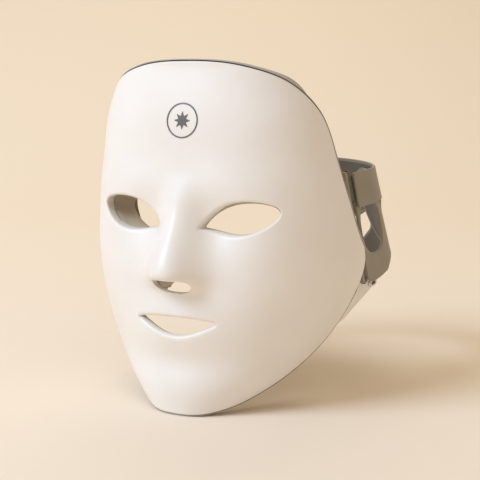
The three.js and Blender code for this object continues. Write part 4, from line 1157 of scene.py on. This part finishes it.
def build_band(row):
    side, name, body = row["side"], row["name"], row["body"]
    front = straight(BAND_FRONT)
    low = [(front, 76.5), (straight(74), 73.5), (straight(84), 73.4), *along_rows(row["ear_low"])]
    high = [*along_rows(row["ear_high"])[::-1], (front, 150)]
    parts = [band_sheet(side, dense(low + high, 3.2), [ear_loop()], INNER_BAND)]
    parts += knuckles(side, UPPER["band"] + LOWER["band"], (0.45, 2.3, 1.6, 4.6), 0.5, 2)
    # Material 2 is painted shade: a darker taupe on the inner faces of the ear loop and the strap and on the
    # loop's knuckles, for the shade inside the band and round the pins.
    soft = [SILICONE, SILICONE, PAINTED_SHADE_SILICONE]
    make_piece(name + "_ear_loop", parts, soft, body, [name + "_ear_band"])

    front, seam = straight(STRAP_FRONT), arc(BACK_SEAM)
    outline = [(front, 131), *along_rows(row["back_low"]), (seam, 70), (seam, 84)]
    outline += along_rows(row["slot_low"])[::-1] + along_rows(row["slot_high"])
    outline += [(seam, 115), (seam, STRAP_TOP), (front, STRAP_TOP)]
    strap = band_sheet(side, dense(outline, 2.4), [], OUTER_BAND)
    make_piece(name + "_strap", [strap], soft, body, [name + "_back_band"])

    degrees, z = row["rivet"]
    turn = math.radians(degrees)
    lean = float(band_lean(arc(degrees)))
    outward = Vector((side * math.cos(turn), math.sin(turn), lean * math.sin(turn))).normalized()
    middle = 0.5 * (INNER_BAND[1] + OUTER_BAND[0])
    stud = turned(STUD_PROFILE, pointing(band_point(arc(degrees), z, middle, side), outward), 36)
    make_piece(name + "_press_stud", [stud], [STEEL], body, [name + "_rivet"])

    for level, bottom, top in CLASPS:
        corners = box_corners(arc(CLASP_START), bottom, seam, top)
        place = lambda u, v, depth: band_point(u, v, CLASP_FACE - depth, side)
        plate = sheet_solid(place, (dense(corners, 1.6, 0.8), edge_profile(1.6, 0.4, 0.2, 0.6)), [], 1.4)
        make_piece(f"{name}_{level}_magnet", [plate], [STEEL], body, [f"{name}_{level}_clasp"])


def lean_move(side):
    """Points given as (x, level, z) moved into place beside a leaning hinge."""
    def move(p):
        return np.stack([side * p[:, 0], p[:, 1] + (HINGE[2] - p[:, 2]) * LEAN, p[:, 2]], -1)
    return move


def build_anchors(side, name):
    move = lean_move(side)
    parts = [
        block((86.0, 54.8, 131.2), (90.0, 59.0, 157), 0.9, move),  # the plate beside the hinge
        block((75.6, 44.5, 133), (78.1, 57.2, 148), 0.8, move),  # the tab inside, which takes the screw
        block((75.8, 54.9, 133.2), (88.5, 57.1, 147.8), 0.6, move),  # the web between them
    ]
    parts += knuckles(side, UPPER["anchor"], (-1.1, 2.3, -3.6, -1.4), 0.4, 1)
    # Material 1 is painted shade: a darker taupe on the knuckles, for the shade in the recesses round the
    # pins.
    soft = [SILICONE, PAINTED_SHADE_SILICONE]
    make_piece(name + "_temple_hinge", parts, soft, MASK, [name + "_upper_anchor"])

    rows = [(76, 54.4), (76.2, 54.1), (82, 54), (88, 56.4), (91.8, 57.4), (92, 57.6)]
    parts = [stack_solid([move(rounded_section(84.6, 90.0, front, 58.6, z, 0.8, 5)) for z, front in rows])]
    parts += knuckles(side, LOWER["anchor"], (-1.1, 2.3, -3.6, -1.4), 0.4, 1)
    peg = turned([(1.3, 81.05), (1.5, 81.3), (1.5, 84.9)], side_matrix(side, 95.2, 79.5), 20)
    parts.append(peg)
    make_piece(name + "_cheek_hinge", parts, soft, MASK, [name + "_lower_anchor"])

    for level, ends in (("upper", UPPER_ENDS), ("lower", LOWER_ENDS)):
        bottom, top = ends[0] + 0.5, ends[1] - 0.5
        profile = [(0.7, bottom), (PIN, bottom + 0.3), (PIN, top - 0.3), (0.7, top)]
        rod = turned(profile, hinge_matrix(side), 24)
        make_piece(f"{name}_{level}_rod", [rod], [STEEL], MASK, [f"{name}_{level}_pin"])
    screw = screw_parts(side_matrix(-side, 48.5 + (HINGE[2] - 140) * LEAN, 140), SCREW_TOP, -83.3)
    make_piece(name + "_temple_screw", [screw], [STEEL], MASK, [name + "_anchor_screw"])


# ---- carried-over nodes


def dress_nodes():
    """The small inner solids keep their CAD shape and get a material each."""
    wanted = {
        "battery": BATTERY, "charge_board": BOARD, "control_board": BOARD, "left_flex_cable": BOARD,
        "right_flex_cable": BOARD, "power_switch": BLACK, "usb_c_socket": STEEL,
    }
    for name, material in wanted.items():
        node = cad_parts[name]
        for slot in node.material_slots:
            slot.material = material


# ---- stage, light, camera (azimuth and elevation in degrees; the camera's distance and target in mm)
FLOOR_COLOUR = linear(246, 233, 215)
WALL_COLOUR = linear(243, 226, 202)
FLOOR_END, COVE = 0.9, 1.2  # where the floor starts to curve up, and the curve's radius, in metres
AZIMUTH, ELEVATION, DISTANCE = 26.0, 9.0, 700.0
TARGET = (40.0, 0.0, 116.5)
FOCAL_PIXELS, FRAME_PIXELS = 1100.0, 480.0
LIT_HEIGHT = 0.12
LIGHTS = [  # (name, azimuth, elevation, distance in metres, size in metres, watts, colour)
    ("key", -38, 40, 3.0, 1.5, 64, (0.65, 0.80, 1.0)),
    ("back", 205, 50, 2.0, 1.4, 5, (1.0, 1.0, 0.75)),
]
WORLD_COLOUR, WORLD_STRENGTH = (1.0, 0.84, 0.68, 1), 0.57


def build_stage():
    """A pale floor that curves up into a pale wall."""
    profile = [(-3.0, 0.0), (FLOOR_END, 0.0)]
    for turn in range(5, 91, 5):
        a = math.radians(turn)
        profile.append((FLOOR_END + COVE * math.sin(a), COVE - COVE * math.cos(a)))
    profile.append((FLOOR_END + COVE, 5.0))
    azimuth = math.radians(AZIMUTH)
    away = Vector((-math.sin(azimuth), math.cos(azimuth), 0))
    across = Vector((math.cos(azimuth), math.sin(azimuth), 0))
    verts, faces = [], []
    for reach, height in profile:
        for wide in (-5.0, 5.0):
            verts.append(tuple(away * reach + across * wide + Vector((0, 0, height))))
    for k in range(len(profile) - 1):
        faces.append((2 * k, 2 * k + 1, 2 * k + 3, 2 * k + 2))
    mesh = bpy.data.meshes.new("studio_floor")
    mesh.from_pydata(verts, [], faces)
    mesh.shade_smooth()

    def paint(tree):
        place = tree.nodes.new("ShaderNodeNewGeometry").outputs["Position"]
        level = added(tree, "SeparateXYZ", {0: place}).outputs["Z"]
        rise = added(tree, "MapRange", {"Value": level, "From Min": 0.0, "From Max": 0.6})
        colour = mixed(tree, rise.outputs["Result"], FLOOR_COLOUR, WALL_COLOUR)
        return {"Base Color": colour, "Roughness": 0.9, "Specular IOR Level": 0.1}, None
    mesh.materials.append(node_material("studio_paper", paint))
    floor = add_object("studio_floor", mesh)


def view_vector(azimuth, elevation):
    a, e = math.radians(azimuth), math.radians(elevation)
    return Vector((math.sin(a) * math.cos(e), -math.cos(a) * math.cos(e), math.sin(e)))


def aim(item, target):
    item.rotation_mode = "QUATERNION"
    item.rotation_quaternion = (target - item.location).to_track_quat("-Z", "Y")


def area_light(name, azimuth, elevation, distance, size, power, colour, target):
    data = bpy.data.lights.new(name, "AREA")
    data.shape = "DISK"
    data.size = size
    data.energy = power
    data.color = colour
    lamp = add_object(name, data)
    lamp.location = target + view_vector(azimuth, elevation) * distance
    aim(lamp, target)


def build_camera_and_lights():
    target = Vector((np.array(TARGET) + SHIFT) * MM)
    data = bpy.data.cameras.new("camera")
    data.sensor_width = 36.0
    data.lens = FOCAL_PIXELS / FRAME_PIXELS * data.sensor_width
    camera = add_object("camera", data)
    camera.location = target + view_vector(AZIMUTH, ELEVATION) * DISTANCE * MM
    aim(camera, target)
    bpy.context.scene.camera = camera
    centre = Vector((0, 0, LIT_HEIGHT))
    for row in LIGHTS:
        area_light(*row, centre)
    world = bpy.data.worlds.new("studio")
    world.use_nodes = True
    background = world.node_tree.nodes["Background"]
    background.inputs["Color"].default_value = WORLD_COLOUR
    background.inputs["Strength"].default_value = WORLD_STRENGTH
    bpy.context.scene.world = world
    bpy.context.scene.view_settings.view_transform = "Standard"


# ---- assembly
build_camera_and_lights()
build_front_shell()
build_gasket()
build_rear_shell()
build_windows()
build_soft_pieces()
build_rear_screws()
build_emblem()
for side, name in SIDES:
    build_housing(side, name)
    build_anchors(side, name)
build_wing_details()
for row in BANDS:
    build_band(row)
dress_nodes()
build_stage()
